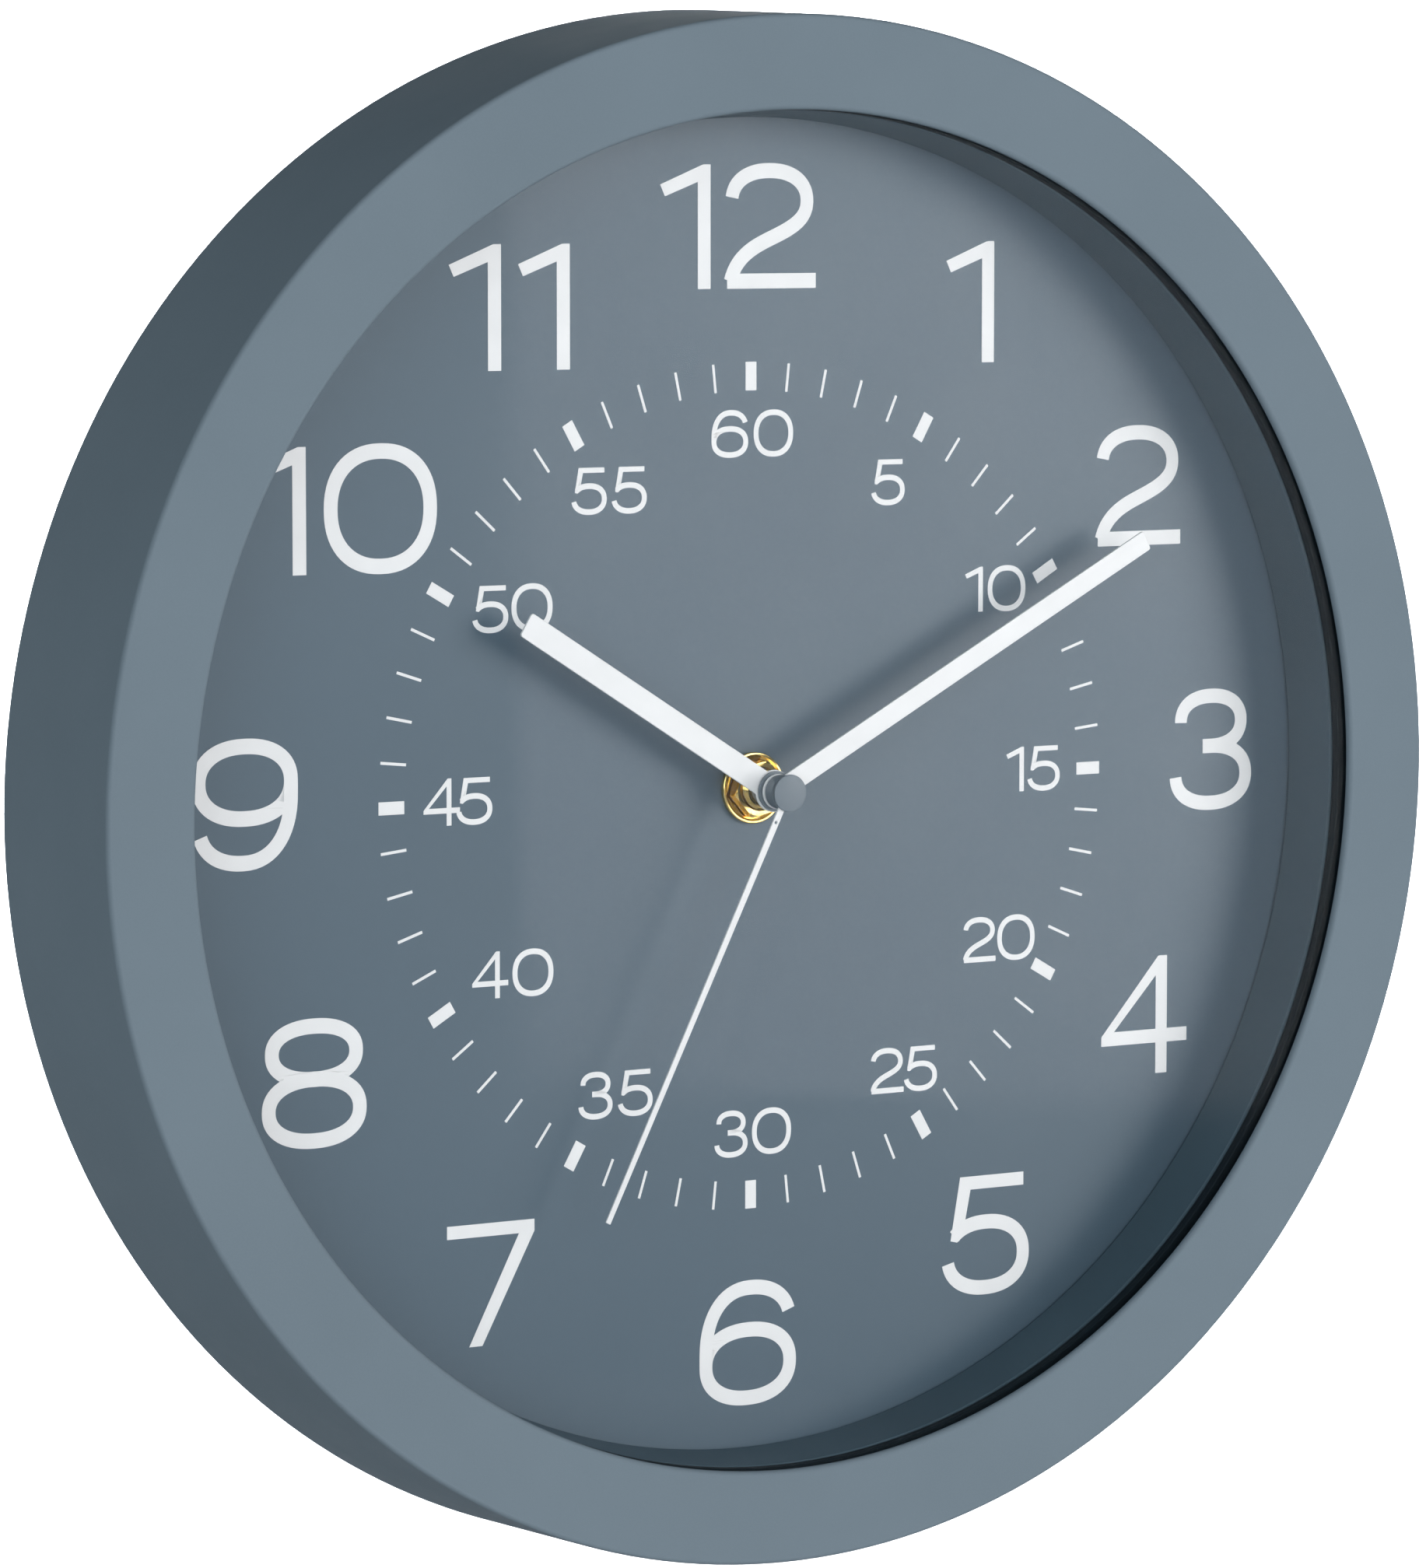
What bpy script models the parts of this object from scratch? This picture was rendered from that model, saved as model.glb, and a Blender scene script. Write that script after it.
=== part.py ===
"""Round quartz wall clock, 300 mm across, as an assembly of separate pieces.

Frame: +Z up, the wall is the plane y = 0 and the dial faces -Y. The origin is the top of the
hanger's keyhole slot, projected on the wall: the point that the wall hook carries.

The sizes are in millimetres and the helpers turn them into metres. Every piece is drawn
face-on: x to the right and y up from the hand axis, and "out" is the distance from the wall
towards the room. Each object's own Z axis is that "out" direction, and its origin lies on the
axis that it turns about.
"""

from math import atan2, cos, pi, radians, sin, sqrt

import bmesh
import bpy
from mathutils import Matrix, Vector

MM = 0.001
TURN = 2 * pi
GAP = 0.3                      # between pieces that touch on the real clock

# Place of the hand axis under the wall hook
AXIS_DROP = 112.0

# Case
CASE_REAR_R = 150.0
CASE_FRONT_R = 148.5
CASE_DEPTH = 40.0
CASE_WALL = 2.6
CASE_SIDES = 60
LIP_R = 130.4                  # inner edge of the bezel
LIP_REAR = 38.8                # the lip's rear face, which the lens lies against
SKIRT_R = 134.6                # inner side of the skirt that holds the lens and the dial
SKIRT_WALL = 2.0
SKIRT_REAR = 20.0
BOSS_CIRCLE_R = 141.0
BOSS_R = 3.6
BOSS_COUNT = 6

# Lens stack, from front to rear
LENS_R = 132.6
LENS_THICK = 2.0
STACK_R = SKIRT_R - GAP
GASKET_REAR = 33.9
RING_DIAL_R = 129.1
DIAL_FRONT = 20.8
DIAL_THICK = 0.8
DIAL_REAR = DIAL_FRONT - DIAL_THICK

# Back plate
BACK_R = 144.6
BACK_FRONT = DIAL_REAR - GAP
BACK_REAR = BACK_FRONT - 2.0
RIB_HEIGHT = 3.0
RIB_WIDTH = 1.6
RIB_RING_R = 100.0
RIB_COUNT = 8
CENTRE_HOLE_R = 4.3

# Screws
CASE_SCREW = {"shank_r": 1.4, "head_r": 3.0, "head_h": 1.8, "length": 12.0}
HANGER_SCREW = {"shank_r": 1.2, "head_r": 2.8, "head_h": 1.6, "length": 8.0}
SCREW_SIDES = 12

# Hanger
HANGER_HALF_W = 23.0
HANGER_LOW = 97.0
HANGER_HIGH = 117.5
HANGER_REAR = 6.0
HANGER_THICK = 1.2
KEYHOLE_R = 4.5
SLOT_R = 2.2
SLOT_DROP = 8.0                # from the slot's top to the keyhole's centre
HANGER_POST = (17.0, 108.0)
HANGER_POST_R = 3.5

# Movement housing
MOVE_HALF = 28.0
MOVE_REAR = 1.0
MOVE_FRONT = 16.4
MOVE_WALL = 1.4
MOVE_INNER = MOVE_HALF - MOVE_WALL
MOVE_FLOOR = MOVE_FRONT - 1.0  # inner face of the front wall
BAY_TOP = -12.4
BAY_ROOF = -11.3               # upper face of the wall between the bay and the train
COVER_FRONT = 2.2
TRAIN_PLATE = (8.2, 9.0)
TRAIN_POSTS = ((-22.0, -7.5), (-22.0, 12.0), (22.0, 14.0), (23.5, -8.8))
POST_R = 1.5
PIVOT_PLAY = 0.3
PIVOT_REAR = MOVE_REAR + 0.8   # rear ends of the arbors, inside the cover's bearings

# Battery, AA size
BATTERY_R = 6.95
BATTERY_LEFT = -24.6
BATTERY_RIGHT = 24.2
NUB_R = 2.75
NUB_LENGTH = 1.1
BATTERY_Y = (BAY_TOP - MOVE_INNER - GAP) / 2
BATTERY_OUT = MOVE_FLOOR - GAP - BATTERY_R

# Contacts, circuit board and motor
CONTACT_THICK = 0.3
CONTACT_X = MOVE_INNER - 0.4   # outer face of each contact sheet
CONTACT_PAD_Y = (-24.0, -14.5)
CONTACT_PAD_OUT = (3.5, 12.5)
STRIP_OUT = (2.5, 2.8)
STRIP_X = (9.6, 11.6)
BOARD_X = (9.3, 25.5)
BOARD_Y = (5.0, 25.5)
BOARD_OUT = (3.1, 3.9)
CHIP_AT = (14.0, 14.5)
CHIP_R = 2.8
CHIP_HEIGHT = 1.1
CRYSTAL_AT = (20.5, 13.0)
CRYSTAL_R = 1.0
CRYSTAL_LENGTH = 6.0
STATOR_OUT = (6.1, 6.9)
STATOR_X = (-26.0, -5.6)
STATOR_BRIDGE_Y = (3.6, 12.2)
STATOR_HOLE_R = 3.3
LEG_W = 3.6
COIL_Y = 21.0
CORE_HALF_W = 1.2
CORE_OUT = (7.2, 8.0)
COIL_FLANGE_R = 3.4
COIL_WIRE_R = 2.9
MAGNET_R = (1.6, 2.6)
MAGNET_OUT = (5.3, 7.5)

# Time-setting knob and its well in the cover
KNOB_R = 4.4
KNOB_RIBS = 12
KNOB_OUT = (1.3, 3.7)
KNOB_SHAFT_REAR = 3.0          # end of the setting shaft, in the knob's socket
WELL_R = 5.0
WELL_FLOOR = (4.0, 4.8)

# Toothed wheels: teeth and module. Wheels mesh with pinions of the same module.
ROTOR_PINION = (6, 0.4)
INTERMEDIATE_GEAR = (36, 0.4)
INTERMEDIATE_PINION = (8, 0.42)
SECONDS_GEAR = (40, 0.42)
SECONDS_PINION = (6, 0.45)
THIRD_GEAR = (45, 0.45)
THIRD_PINION = (6, 0.425)
CENTRE_GEAR = (48, 0.425)
CANNON_PINION = (10, 0.5)
MINUTE_GEAR = (30, 0.5)
MINUTE_PINION = (8, 0.5)
HOUR_GEAR = (32, 0.5)
SETTING_PINION = (10, 0.5)

# Tooth form, in modules, and tooth thickness as a part of the pitch
WHEEL_TOOTH = {"addendum": 0.8, "dedendum": 1.0, "tip": 0.14, "root": 0.40}
PINION_TOOTH = {"addendum": 0.6, "dedendum": 1.2, "tip": 0.14, "root": 0.34}

# Directions from one arbor to the next, in degrees anticlockwise from x
THIRD_BEARING = 60.0
INTERMEDIATE_BEARING = 180.0
ROTOR_BEARING = 110.0
MINUTE_BEARING = -15.0
SETTING_BEARING = -5.0

# Layers of the train, (rear, front) in "out"
INTERMEDIATE_LAYER = (3.6, 4.2)
ROTOR_PINION_LAYER = (3.3, 4.5)
SECONDS_LAYER = (5.2, 5.8)
THIRD_LAYER = (6.9, 7.5)
CENTRE_LAYER = (9.7, 10.3)
MINUTE_LAYER = (11.2, 11.8)
HOUR_LAYER = (13.2, 13.9)

# Nested arbors at the hand axis
SECONDS_ARBOR_R = 0.5
MINUTE_TUBE = (0.8, 1.5)
HOUR_TUBE = (1.8, 2.55)
BUSH_R = (2.85, 4.0)
BUSH_FRONT = 25.8
SMALL_ARBOR_R = 0.5
ROTOR_ARBOR_R = 0.4
SETTING_SHAFT_R = 1.0
MINUTE_STUD_R = 0.6

# Fixing of the movement in the dial
BUSH_FLANGE_R = 5.6
BUSH_FLANGE_THICK = 0.6
RUBBER_WASHER_R = 9.0
WASHER_R = 6.95
NUT_CORNER_R = 5.77
NUT_HEIGHT = 2.4

# Hands, clockwise degrees from twelve o'clock at rest
HOUR_HAND = {"angle": -58.2, "length": 64.8, "width": 5.0, "tip": 5.0, "eye_r": 4.1,
             "rear": 28.8, "front": 29.3}
MINUTE_HAND = {"angle": 62.1, "length": 98.0, "width": 4.1, "tip": 4.1, "eye_r": 3.4,
               "rear": 30.3, "front": 30.8}
SECOND_HAND = {"angle": 206.8, "length": 89.7, "width": 1.4, "tip": 1.1, "eye_r": 2.9,
               "rear": 34.0, "front": 34.4}
HOUR_COLLAR_R = 3.15
HOUR_COLLAR_REAR = 27.0
HOUR_FLANGE_R = 3.9
HUB_REAR = 31.1
HUB_R = 3.3
CAP_R = 3.6
CAP_THICK = 0.6

# Finishes: colour, roughness, metallic
FINISHES = {
    "blue_grey_plastic": ((0.17, 0.22, 0.27), 0.55, 0.0),
    "dark_ring_plastic": ((0.10, 0.13, 0.16), 0.60, 0.0),
    "clear_glass": ((0.90, 0.93, 0.95), 0.05, 0.0),
    "black_rubber": ((0.01, 0.012, 0.015), 0.70, 0.0),
    "dial_sheet": ((0.16, 0.20, 0.24), 0.50, 0.0),
    "back_plastic": ((0.12, 0.15, 0.18), 0.60, 0.0),
    "white_enamel": ((0.90, 0.90, 0.91), 0.35, 0.0),
    "zinc_steel": ((0.60, 0.61, 0.62), 0.35, 1.0),
    "brass": ((0.80, 0.58, 0.22), 0.22, 1.0),
    "black_plastic": ((0.02, 0.02, 0.022), 0.50, 0.0),
    "white_plastic": ((0.80, 0.80, 0.78), 0.45, 0.0),
    "board_green": ((0.03, 0.18, 0.08), 0.45, 0.0),
    "copper_wire": ((0.62, 0.25, 0.10), 0.35, 1.0),
    "magnet_grey": ((0.10, 0.10, 0.11), 0.50, 0.6),
    "battery_jacket": ((0.05, 0.16, 0.20), 0.35, 0.3),
}


# ---------------------------------------------------------------- scene and helpers

def clear_scene():
    for obj in list(bpy.data.objects):
        bpy.data.objects.remove(obj, do_unlink=True)
    for collection in list(bpy.data.collections):
        bpy.data.collections.remove(collection)


def new_collection(name):
    collection = bpy.data.collections.new(name)
    bpy.context.scene.collection.children.link(collection)
    return collection


clear_scene()
PARTS = new_collection("wall_clock")
CUTTERS = new_collection("cutters")


def finish(obj, kind):
    """Give the object its own Principled material of the named finish."""
    colour, roughness, metallic = FINISHES[kind]
    material = bpy.data.materials.new(f"{obj.name}_{kind}")
    material.use_nodes = True
    shader = material.node_tree.nodes["Principled BSDF"]
    shader.inputs["Base Color"].default_value = (*colour, 1.0)
    shader.inputs["Roughness"].default_value = roughness
    shader.inputs["Metallic"].default_value = metallic
    obj.data.materials.append(material)
    return obj


def add_object(name, mesh, x=0.0, y=0.0):
    """Link a mesh drawn face-on, with its origin on the axis at (x, y)."""
    mesh.shade_smooth()
    mesh.set_sharp_from_angle(angle=radians(30))
    obj = bpy.data.objects.new(name, mesh)
    obj.rotation_euler = (pi / 2, 0.0, 0.0)
    obj.location = Vector((x, 0.0, y - AXIS_DROP)) * MM
    PARTS.objects.link(obj)
    return obj


def evaluated_mesh(source):
    """Read the mesh that an object's curve or modifiers make, and drop the object."""
    bpy.context.scene.collection.objects.link(source)
    graph = bpy.context.evaluated_depsgraph_get()
    mesh = bpy.data.meshes.new_from_object(source.evaluated_get(graph))
    bpy.data.objects.remove(source, do_unlink=True)
    return mesh


def combine(target, operation, other):
    """Boolean another object into the target, and put that object with the cutters."""
    modifier = target.modifiers.new(other.name, "BOOLEAN")
    modifier.operation = operation
    modifier.solver = "EXACT"
    modifier.object = other
    PARTS.objects.unlink(other)
    CUTTERS.objects.link(other)
    other.hide_render = True
    other.display_type = "WIRE"
    return target


def join(target, *others):
    for other in others:
        combine(target, "UNION", other)
    return target


def cut(target, *others):
    for other in others:
        combine(target, "DIFFERENCE", other)
    return target


def block(name, x_span, y_span, out_span):
    """A box between two values on each of the face-on axes."""
    low = Vector((x_span[0], y_span[0], out_span[0]))
    high = Vector((x_span[1], y_span[1], out_span[1]))
    work = bmesh.new()
    bmesh.ops.create_cube(work, size=1.0)
    scale = Matrix.Diagonal((*(high - low), 1.0))
    place = Matrix.Scale(MM, 4) @ Matrix.Translation((low + high) / 2) @ scale
    bmesh.ops.transform(work, matrix=place, verts=work.verts)
    mesh = bpy.data.meshes.new(name)
    work.to_mesh(mesh)
    work.free()
    return add_object(name, mesh)


def drum(name, radius, out_span, x=0.0, y=0.0, sides=24):
    """A plain cylinder along the out direction."""
    work = bmesh.new()
    height = (out_span[1] - out_span[0]) * MM
    middle = (out_span[1] + out_span[0]) / 2 * MM
    bmesh.ops.create_cone(work, cap_ends=True, segments=sides, radius1=radius * MM,
                          radius2=radius * MM, depth=height,
                          matrix=Matrix.Translation((0.0, 0.0, middle)))
    mesh = bpy.data.meshes.new(name)
    work.to_mesh(mesh)
    work.free()
    return add_object(name, mesh, x, y)


def turned(name, profile, x=0.0, y=0.0, sides=24, closed=True):
    """Turn a profile of (radius, out) points, listed down the outer side, about its axis.

    A closed profile makes a ring. An open one starts and ends on the axis.
    """
    mesh = bpy.data.meshes.new(name)
    count = len(profile)
    edges = [(i, i + 1) for i in range(count - 1)]
    if closed:
        edges.append((count - 1, 0))
    mesh.from_pydata([(r * MM, 0.0, out * MM) for r, out in profile], edges, [])
    source = bpy.data.objects.new(name, mesh)
    screw = source.modifiers.new("turn", "SCREW")
    screw.axis = "Z"
    screw.angle = TURN
    screw.steps = sides
    screw.render_steps = sides
    screw.use_merge_vertices = True
    screw.merge_threshold = 0.000001
    return add_object(name, evaluated_mesh(source), x, y)


def tube(name, inner_r, outer_r, out_span, x=0.0, y=0.0, sides=24):
    low, high = out_span
    profile = [(inner_r, high), (outer_r, high), (outer_r, low), (inner_r, low)]
    return turned(name, profile, x, y, sides)


def plate(name, outlines, out_span, x=0.0, y=0.0):
    """A flat plate with straight edges: the first outline is its rim, the others are holes."""
    curve = bpy.data.curves.new(name, "CURVE")
    curve.dimensions = "2D"
    curve.fill_mode = "BOTH"
    curve.extrude = (out_span[1] - out_span[0]) / 2 * MM
    for outline in outlines:
        spline = curve.splines.new("POLY")
        spline.points.add(len(outline) - 1)
        for point, (px, py) in zip(spline.points, outline):
            point.co = (px * MM, py * MM, 0.0, 1.0)
        spline.use_cyclic_u = True
    mesh = evaluated_mesh(bpy.data.objects.new(name, curve))
    bpy.data.curves.remove(curve)
    work = bmesh.new()
    work.from_mesh(mesh)
    bmesh.ops.remove_doubles(work, verts=work.verts, dist=0.000001)
    middle = (out_span[1] + out_span[0]) / 2 * MM
    bmesh.ops.translate(work, verts=work.verts, vec=(0.0, 0.0, middle))
    work.to_mesh(mesh)
    work.free()
    return add_object(name, mesh, x, y)


# ---------------------------------------------------------------- outlines

def polar(radius, angle, centre=(0.0, 0.0)):
    return (centre[0] + radius * cos(angle), centre[1] + radius * sin(angle))


def arc(centre, radius, start, end, steps):
    """Points on an arc, angles in degrees anticlockwise from x."""
    return [polar(radius, radians(start + (end - start) * i / steps), centre)
            for i in range(steps + 1)]


def ring_of_points(radius, count, centre=(0.0, 0.0), phase=0.0):
    return [polar(radius, phase + TURN * i / count, centre) for i in range(count)]


def rounded_rectangle(x_span, y_span, radius, steps=4):
    left, right = x_span[0] + radius, x_span[1] - radius
    low, high = y_span[0] + radius, y_span[1] - radius
    return (arc((right, low), radius, -90, 0, steps) + arc((right, high), radius, 0, 90, steps)
            + arc((left, high), radius, 90, 180, steps) + arc((left, low), radius, 180, 270, steps))


def pitch_radius(gear):
    teeth, module = gear
    return teeth * module / 2


def tip_radius(gear, tooth):
    return pitch_radius(gear) + tooth["addendum"] * gear[1]


def gear_outline(gear, tooth, phase):
    """Slim straight-sided teeth, the first one centred on the phase angle."""
    teeth, module = gear
    root_r = pitch_radius(gear) - tooth["dedendum"] * module
    tip_r = tip_radius(gear, tooth)
    root_half = tooth["root"] * pi * module / 2 / root_r
    tip_half = tooth["tip"] * pi * module / 2 / tip_r
    points = []
    for i in range(teeth):
        middle = phase + TURN * i / teeth
        points += [polar(root_r, middle - root_half), polar(tip_r, middle - tip_half),
                   polar(tip_r, middle + tip_half), polar(root_r, middle + root_half)]
    return points


def mesh_phase(driver, driver_phase, bearing, driven):
    """Phase of the driven gear that puts its gap where the driver has a tooth."""
    along = (bearing - driver_phase) * driver[0] / TURN
    return bearing + pi - TURN / driven[0] * (0.5 - along)


def step_from(start, bearing, distance):
    return polar(distance, radians(bearing), start)


def centre_distance(first, second):
    return pitch_radius(first) + pitch_radius(second)


# ---------------------------------------------------------------- where the arbors stand

HAND_AXIS = (0.0, 0.0)
THIRD_AXIS = step_from(HAND_AXIS, THIRD_BEARING, centre_distance(SECONDS_PINION, THIRD_GEAR))
INTERMEDIATE_AXIS = step_from(HAND_AXIS, INTERMEDIATE_BEARING,
                              centre_distance(SECONDS_GEAR, INTERMEDIATE_PINION))
ROTOR_AXIS = step_from(INTERMEDIATE_AXIS, ROTOR_BEARING,
                       centre_distance(INTERMEDIATE_GEAR, ROTOR_PINION))
MINUTE_AXIS = step_from(HAND_AXIS, MINUTE_BEARING, centre_distance(CANNON_PINION, MINUTE_GEAR))
SETTING_AXIS = step_from(MINUTE_AXIS, SETTING_BEARING,
                         centre_distance(MINUTE_GEAR, SETTING_PINION))

# Phases that bring every pair of gears into mesh at rest
INTERMEDIATE_PINION_PHASE = mesh_phase(SECONDS_GEAR, 0.0, radians(INTERMEDIATE_BEARING),
                                       INTERMEDIATE_PINION)
ROTOR_PHASE = mesh_phase(INTERMEDIATE_GEAR, 0.0, radians(ROTOR_BEARING), ROTOR_PINION)
THIRD_PHASE = mesh_phase(SECONDS_PINION, 0.0, radians(THIRD_BEARING), THIRD_GEAR)
CENTRE_PHASE = mesh_phase(THIRD_PINION, 0.0, radians(THIRD_BEARING) + pi, CENTRE_GEAR)
MINUTE_PHASE = mesh_phase(CANNON_PINION, 0.0, radians(MINUTE_BEARING), MINUTE_GEAR)
HOUR_PHASE = mesh_phase(MINUTE_PINION, 0.0, radians(MINUTE_BEARING) + pi, HOUR_GEAR)
SETTING_PHASE = mesh_phase(MINUTE_GEAR, MINUTE_PHASE, radians(SETTING_BEARING), SETTING_PINION)


# ---------------------------------------------------------------- fasteners

def pan_screw(name, size, x, y, seat_out):
    """Pan-head screw driven towards the room, with its head under the given seat."""
    head_top = seat_out - GAP
    head_low = head_top - size["head_h"]
    tip = head_top + size["length"]
    profile = [(0.0, tip), (size["shank_r"], tip - 1.5), (size["shank_r"], head_top),
               (size["head_r"], head_top), (0.8 * size["head_r"], head_low), (0.0, head_low)]
    screw = turned(name, profile, x, y, SCREW_SIDES, closed=False)
    return finish(screw, "zinc_steel")


def boss_centres():
    return ring_of_points(BOSS_CIRCLE_R, BOSS_COUNT, phase=radians(30))


# ---------------------------------------------------------------- case, lens and dial

def case_wall_r(out):
    """Inner radius of the side wall at a distance from the wall."""
    taper = (CASE_REAR_R - CASE_FRONT_R) / CASE_DEPTH
    return CASE_REAR_R - CASE_WALL - taper * out


def make_case_ring():
    under_bezel = CASE_DEPTH - CASE_WALL
    skirt_outer = SKIRT_R + SKIRT_WALL
    profile = [(LIP_R + 1.3, CASE_DEPTH), (CASE_FRONT_R - 0.9, CASE_DEPTH),
               (CASE_FRONT_R - 0.2, CASE_DEPTH - 0.4), (CASE_FRONT_R, CASE_DEPTH - 1.1),
               (CASE_REAR_R, 0.0), (CASE_REAR_R - CASE_WALL, 0.0),
               (case_wall_r(under_bezel), under_bezel), (skirt_outer, under_bezel),
               (skirt_outer, SKIRT_REAR), (SKIRT_R, SKIRT_REAR), (SKIRT_R, LIP_REAR),
               (LIP_R, LIP_REAR), (LIP_R, LIP_REAR + 0.5), (LIP_R + 0.4, CASE_DEPTH - 0.2)]
    case = turned("case_ring", profile, sides=CASE_SIDES)
    hole_r = CASE_SCREW["shank_r"] + GAP
    for i, (x, y) in enumerate(boss_centres(), start=1):
        join(case, drum(f"case_boss_{i}", BOSS_R, (SKIRT_REAR, under_bezel + 0.8), x, y, 16))
        cut(case, drum(f"case_boss_hole_{i}", hole_r, (SKIRT_REAR - 1, 33.0), x, y, 12))
    return finish(case, "blue_grey_plastic")


def make_lens():
    front = LIP_REAR - GAP
    rear = front - LENS_THICK
    profile = [(0.0, front), (LENS_R, front), (LENS_R, rear), (0.0, rear)]
    return finish(turned("lens", profile, sides=CASE_SIDES, closed=False), "clear_glass")


def make_lens_gasket():
    front = LIP_REAR - GAP
    seat = front - LENS_THICK - GAP
    step_r = LENS_R + GAP
    profile = [(step_r, front), (STACK_R, front), (STACK_R, GASKET_REAR), (LIP_R, GASKET_REAR),
               (LIP_R, seat), (step_r, seat)]
    return finish(turned("lens_gasket", profile, sides=CASE_SIDES), "black_rubber")


def make_inner_ring():
    front = GASKET_REAR - GAP
    rear = DIAL_FRONT + GAP
    web = 1.7
    profile = [(LIP_R, front), (STACK_R, front), (STACK_R, front - 1.4),
               (LIP_R + web, front - 1.4), (RING_DIAL_R + web, rear), (RING_DIAL_R, rear)]
    return finish(turned("inner_ring", profile, sides=CASE_SIDES), "dark_ring_plastic")


def make_dial():
    dial = tube("dial", CENTRE_HOLE_R, STACK_R, (DIAL_REAR, DIAL_FRONT), sides=CASE_SIDES)
    return finish(dial, "dial_sheet")


# ---------------------------------------------------------------- back plate and hanger

def make_back_plate():
    back = drum("back_plate", BACK_R, (BACK_REAR, BACK_FRONT), sides=CASE_SIDES)
    rib_rear = BACK_REAR - RIB_HEIGHT
    rib_span = (rib_rear, BACK_REAR + 0.5)
    frame_inner = MOVE_HALF + 0.5
    frame_outer = frame_inner + RIB_WIDTH
    frame = block("movement_frame", (-frame_outer, frame_outer), (-frame_outer, frame_outer),
                  rib_span)
    opening = block("movement_frame_opening", (-frame_inner, frame_inner),
                    (-frame_inner, frame_inner), (rib_rear - 1, BACK_REAR))
    join(back, tube("rib_ring", RIB_RING_R - RIB_WIDTH, RIB_RING_R, rib_span, sides=36))
    for i in range(RIB_COUNT // 2):
        rib = block(f"rib_{i + 1}", (-RIB_RING_R + 0.8, RIB_RING_R - 0.8),
                    (-RIB_WIDTH / 2, RIB_WIDTH / 2), rib_span)
        rib.rotation_euler = (pi / 2, -TURN * (i + 0.5) / RIB_COUNT, 0.0)
        join(back, rib)
    join(back, frame)
    for side, label in ((-1, "left"), (1, "right")):
        join(back, drum(f"hanger_post_{label}", HANGER_POST_R,
                        (HANGER_REAR + HANGER_THICK + GAP, BACK_REAR + 0.5),
                        side * HANGER_POST[0], HANGER_POST[1], 16))
    cut(back, opening,
        drum("back_centre_hole", CENTRE_HOLE_R, (BACK_REAR - 1, BACK_FRONT + 1)))
    screw_hole_r = CASE_SCREW["shank_r"] + GAP
    for i, (x, y) in enumerate(boss_centres(), start=1):
        cut(back, drum(f"back_hole_{i}", screw_hole_r, (BACK_REAR - 1, BACK_FRONT + 1), x, y, 12))
    post_hole_r = HANGER_SCREW["shank_r"] + GAP
    for side, label in ((-1, "left"), (1, "right")):
        cut(back, drum(f"hanger_post_hole_{label}", post_hole_r, (HANGER_REAR, BACK_REAR - 1),
                       side * HANGER_POST[0], HANGER_POST[1], 12))
    return finish(back, "back_plastic")


def keyhole_outline():
    """A round hole below with a narrower slot above, whose top carries the clock."""
    round_y = AXIS_DROP - SLOT_DROP
    meet = sqrt(KEYHOLE_R ** 2 - SLOT_R ** 2)
    start = 90 + 180 / pi * atan2(SLOT_R, meet)
    lower = arc((0.0, round_y), KEYHOLE_R, start, start + 360 - 2 * (start - 90), 16)
    upper = arc((0.0, AXIS_DROP - SLOT_R), SLOT_R, 0, 180, 8)
    return lower + upper


def make_hanger():
    span = (HANGER_REAR, HANGER_REAR + HANGER_THICK)
    rim = rounded_rectangle((-HANGER_HALF_W, HANGER_HALF_W), (HANGER_LOW, HANGER_HIGH), 4.0)
    hole_r = HANGER_SCREW["shank_r"] + GAP
    holes = [ring_of_points(hole_r, 12, (side * HANGER_POST[0], HANGER_POST[1]))
             for side in (-1, 1)]
    return finish(plate("hanger", [rim, keyhole_outline(), *holes], span), "zinc_steel")


def make_screws():
    for i, (x, y) in enumerate(boss_centres(), start=1):
        pan_screw(f"back_screw_{i}", CASE_SCREW, x, y, BACK_REAR)
    for i, side in enumerate((-1, 1), start=1):
        pan_screw(f"hanger_screw_{i}", HANGER_SCREW, side * HANGER_POST[0], HANGER_POST[1],
                  HANGER_REAR)


# ---------------------------------------------------------------- movement housing

def make_movement_case():
    outer = (-MOVE_HALF, MOVE_HALF)
    inner = (-MOVE_INNER, MOVE_INNER)
    case = block("movement_case", outer, outer, (MOVE_REAR, MOVE_FRONT))
    cut(case, block("train_room", inner, (BAY_ROOF, MOVE_INNER), (0.0, MOVE_FLOOR)),
        block("battery_bay", inner, (-MOVE_INNER - GAP, BAY_TOP), (0.0, MOVE_FLOOR)),
        drum("bush_hole", BUSH_R[1] + GAP, (MOVE_FLOOR - 1, MOVE_FRONT + 1)))
    for side, label in ((-1, "left"), (1, "right")):
        edges = sorted((side * (MOVE_INNER - 1.6), side * MOVE_INNER))
        cut(case, block(f"contact_notch_{label}", edges, (BAY_TOP - 0.5, BAY_ROOF + 0.5),
                        (0.0, 7.0)))
    floor_overlap = MOVE_FLOOR + 0.5
    for i, (x, y) in enumerate(TRAIN_POSTS, start=1):
        join(case, drum(f"plate_post_{i}", POST_R, (TRAIN_PLATE[1] + GAP, floor_overlap),
                        x, y, 12))
    join(case, drum("minute_stud", MINUTE_STUD_R, (MINUTE_LAYER[0] - 0.2, floor_overlap),
                    *MINUTE_AXIS, 12))
    for label, axis, arbor_r in (("third", THIRD_AXIS, SMALL_ARBOR_R),
                                 ("setting", SETTING_AXIS, SMALL_ARBOR_R)):
        join(case, tube(f"{label}_front_bearing", arbor_r + PIVOT_PLAY, arbor_r + 1.1,
                        (13.6, floor_overlap), *axis, 12))
    return finish(case, "black_plastic")


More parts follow.
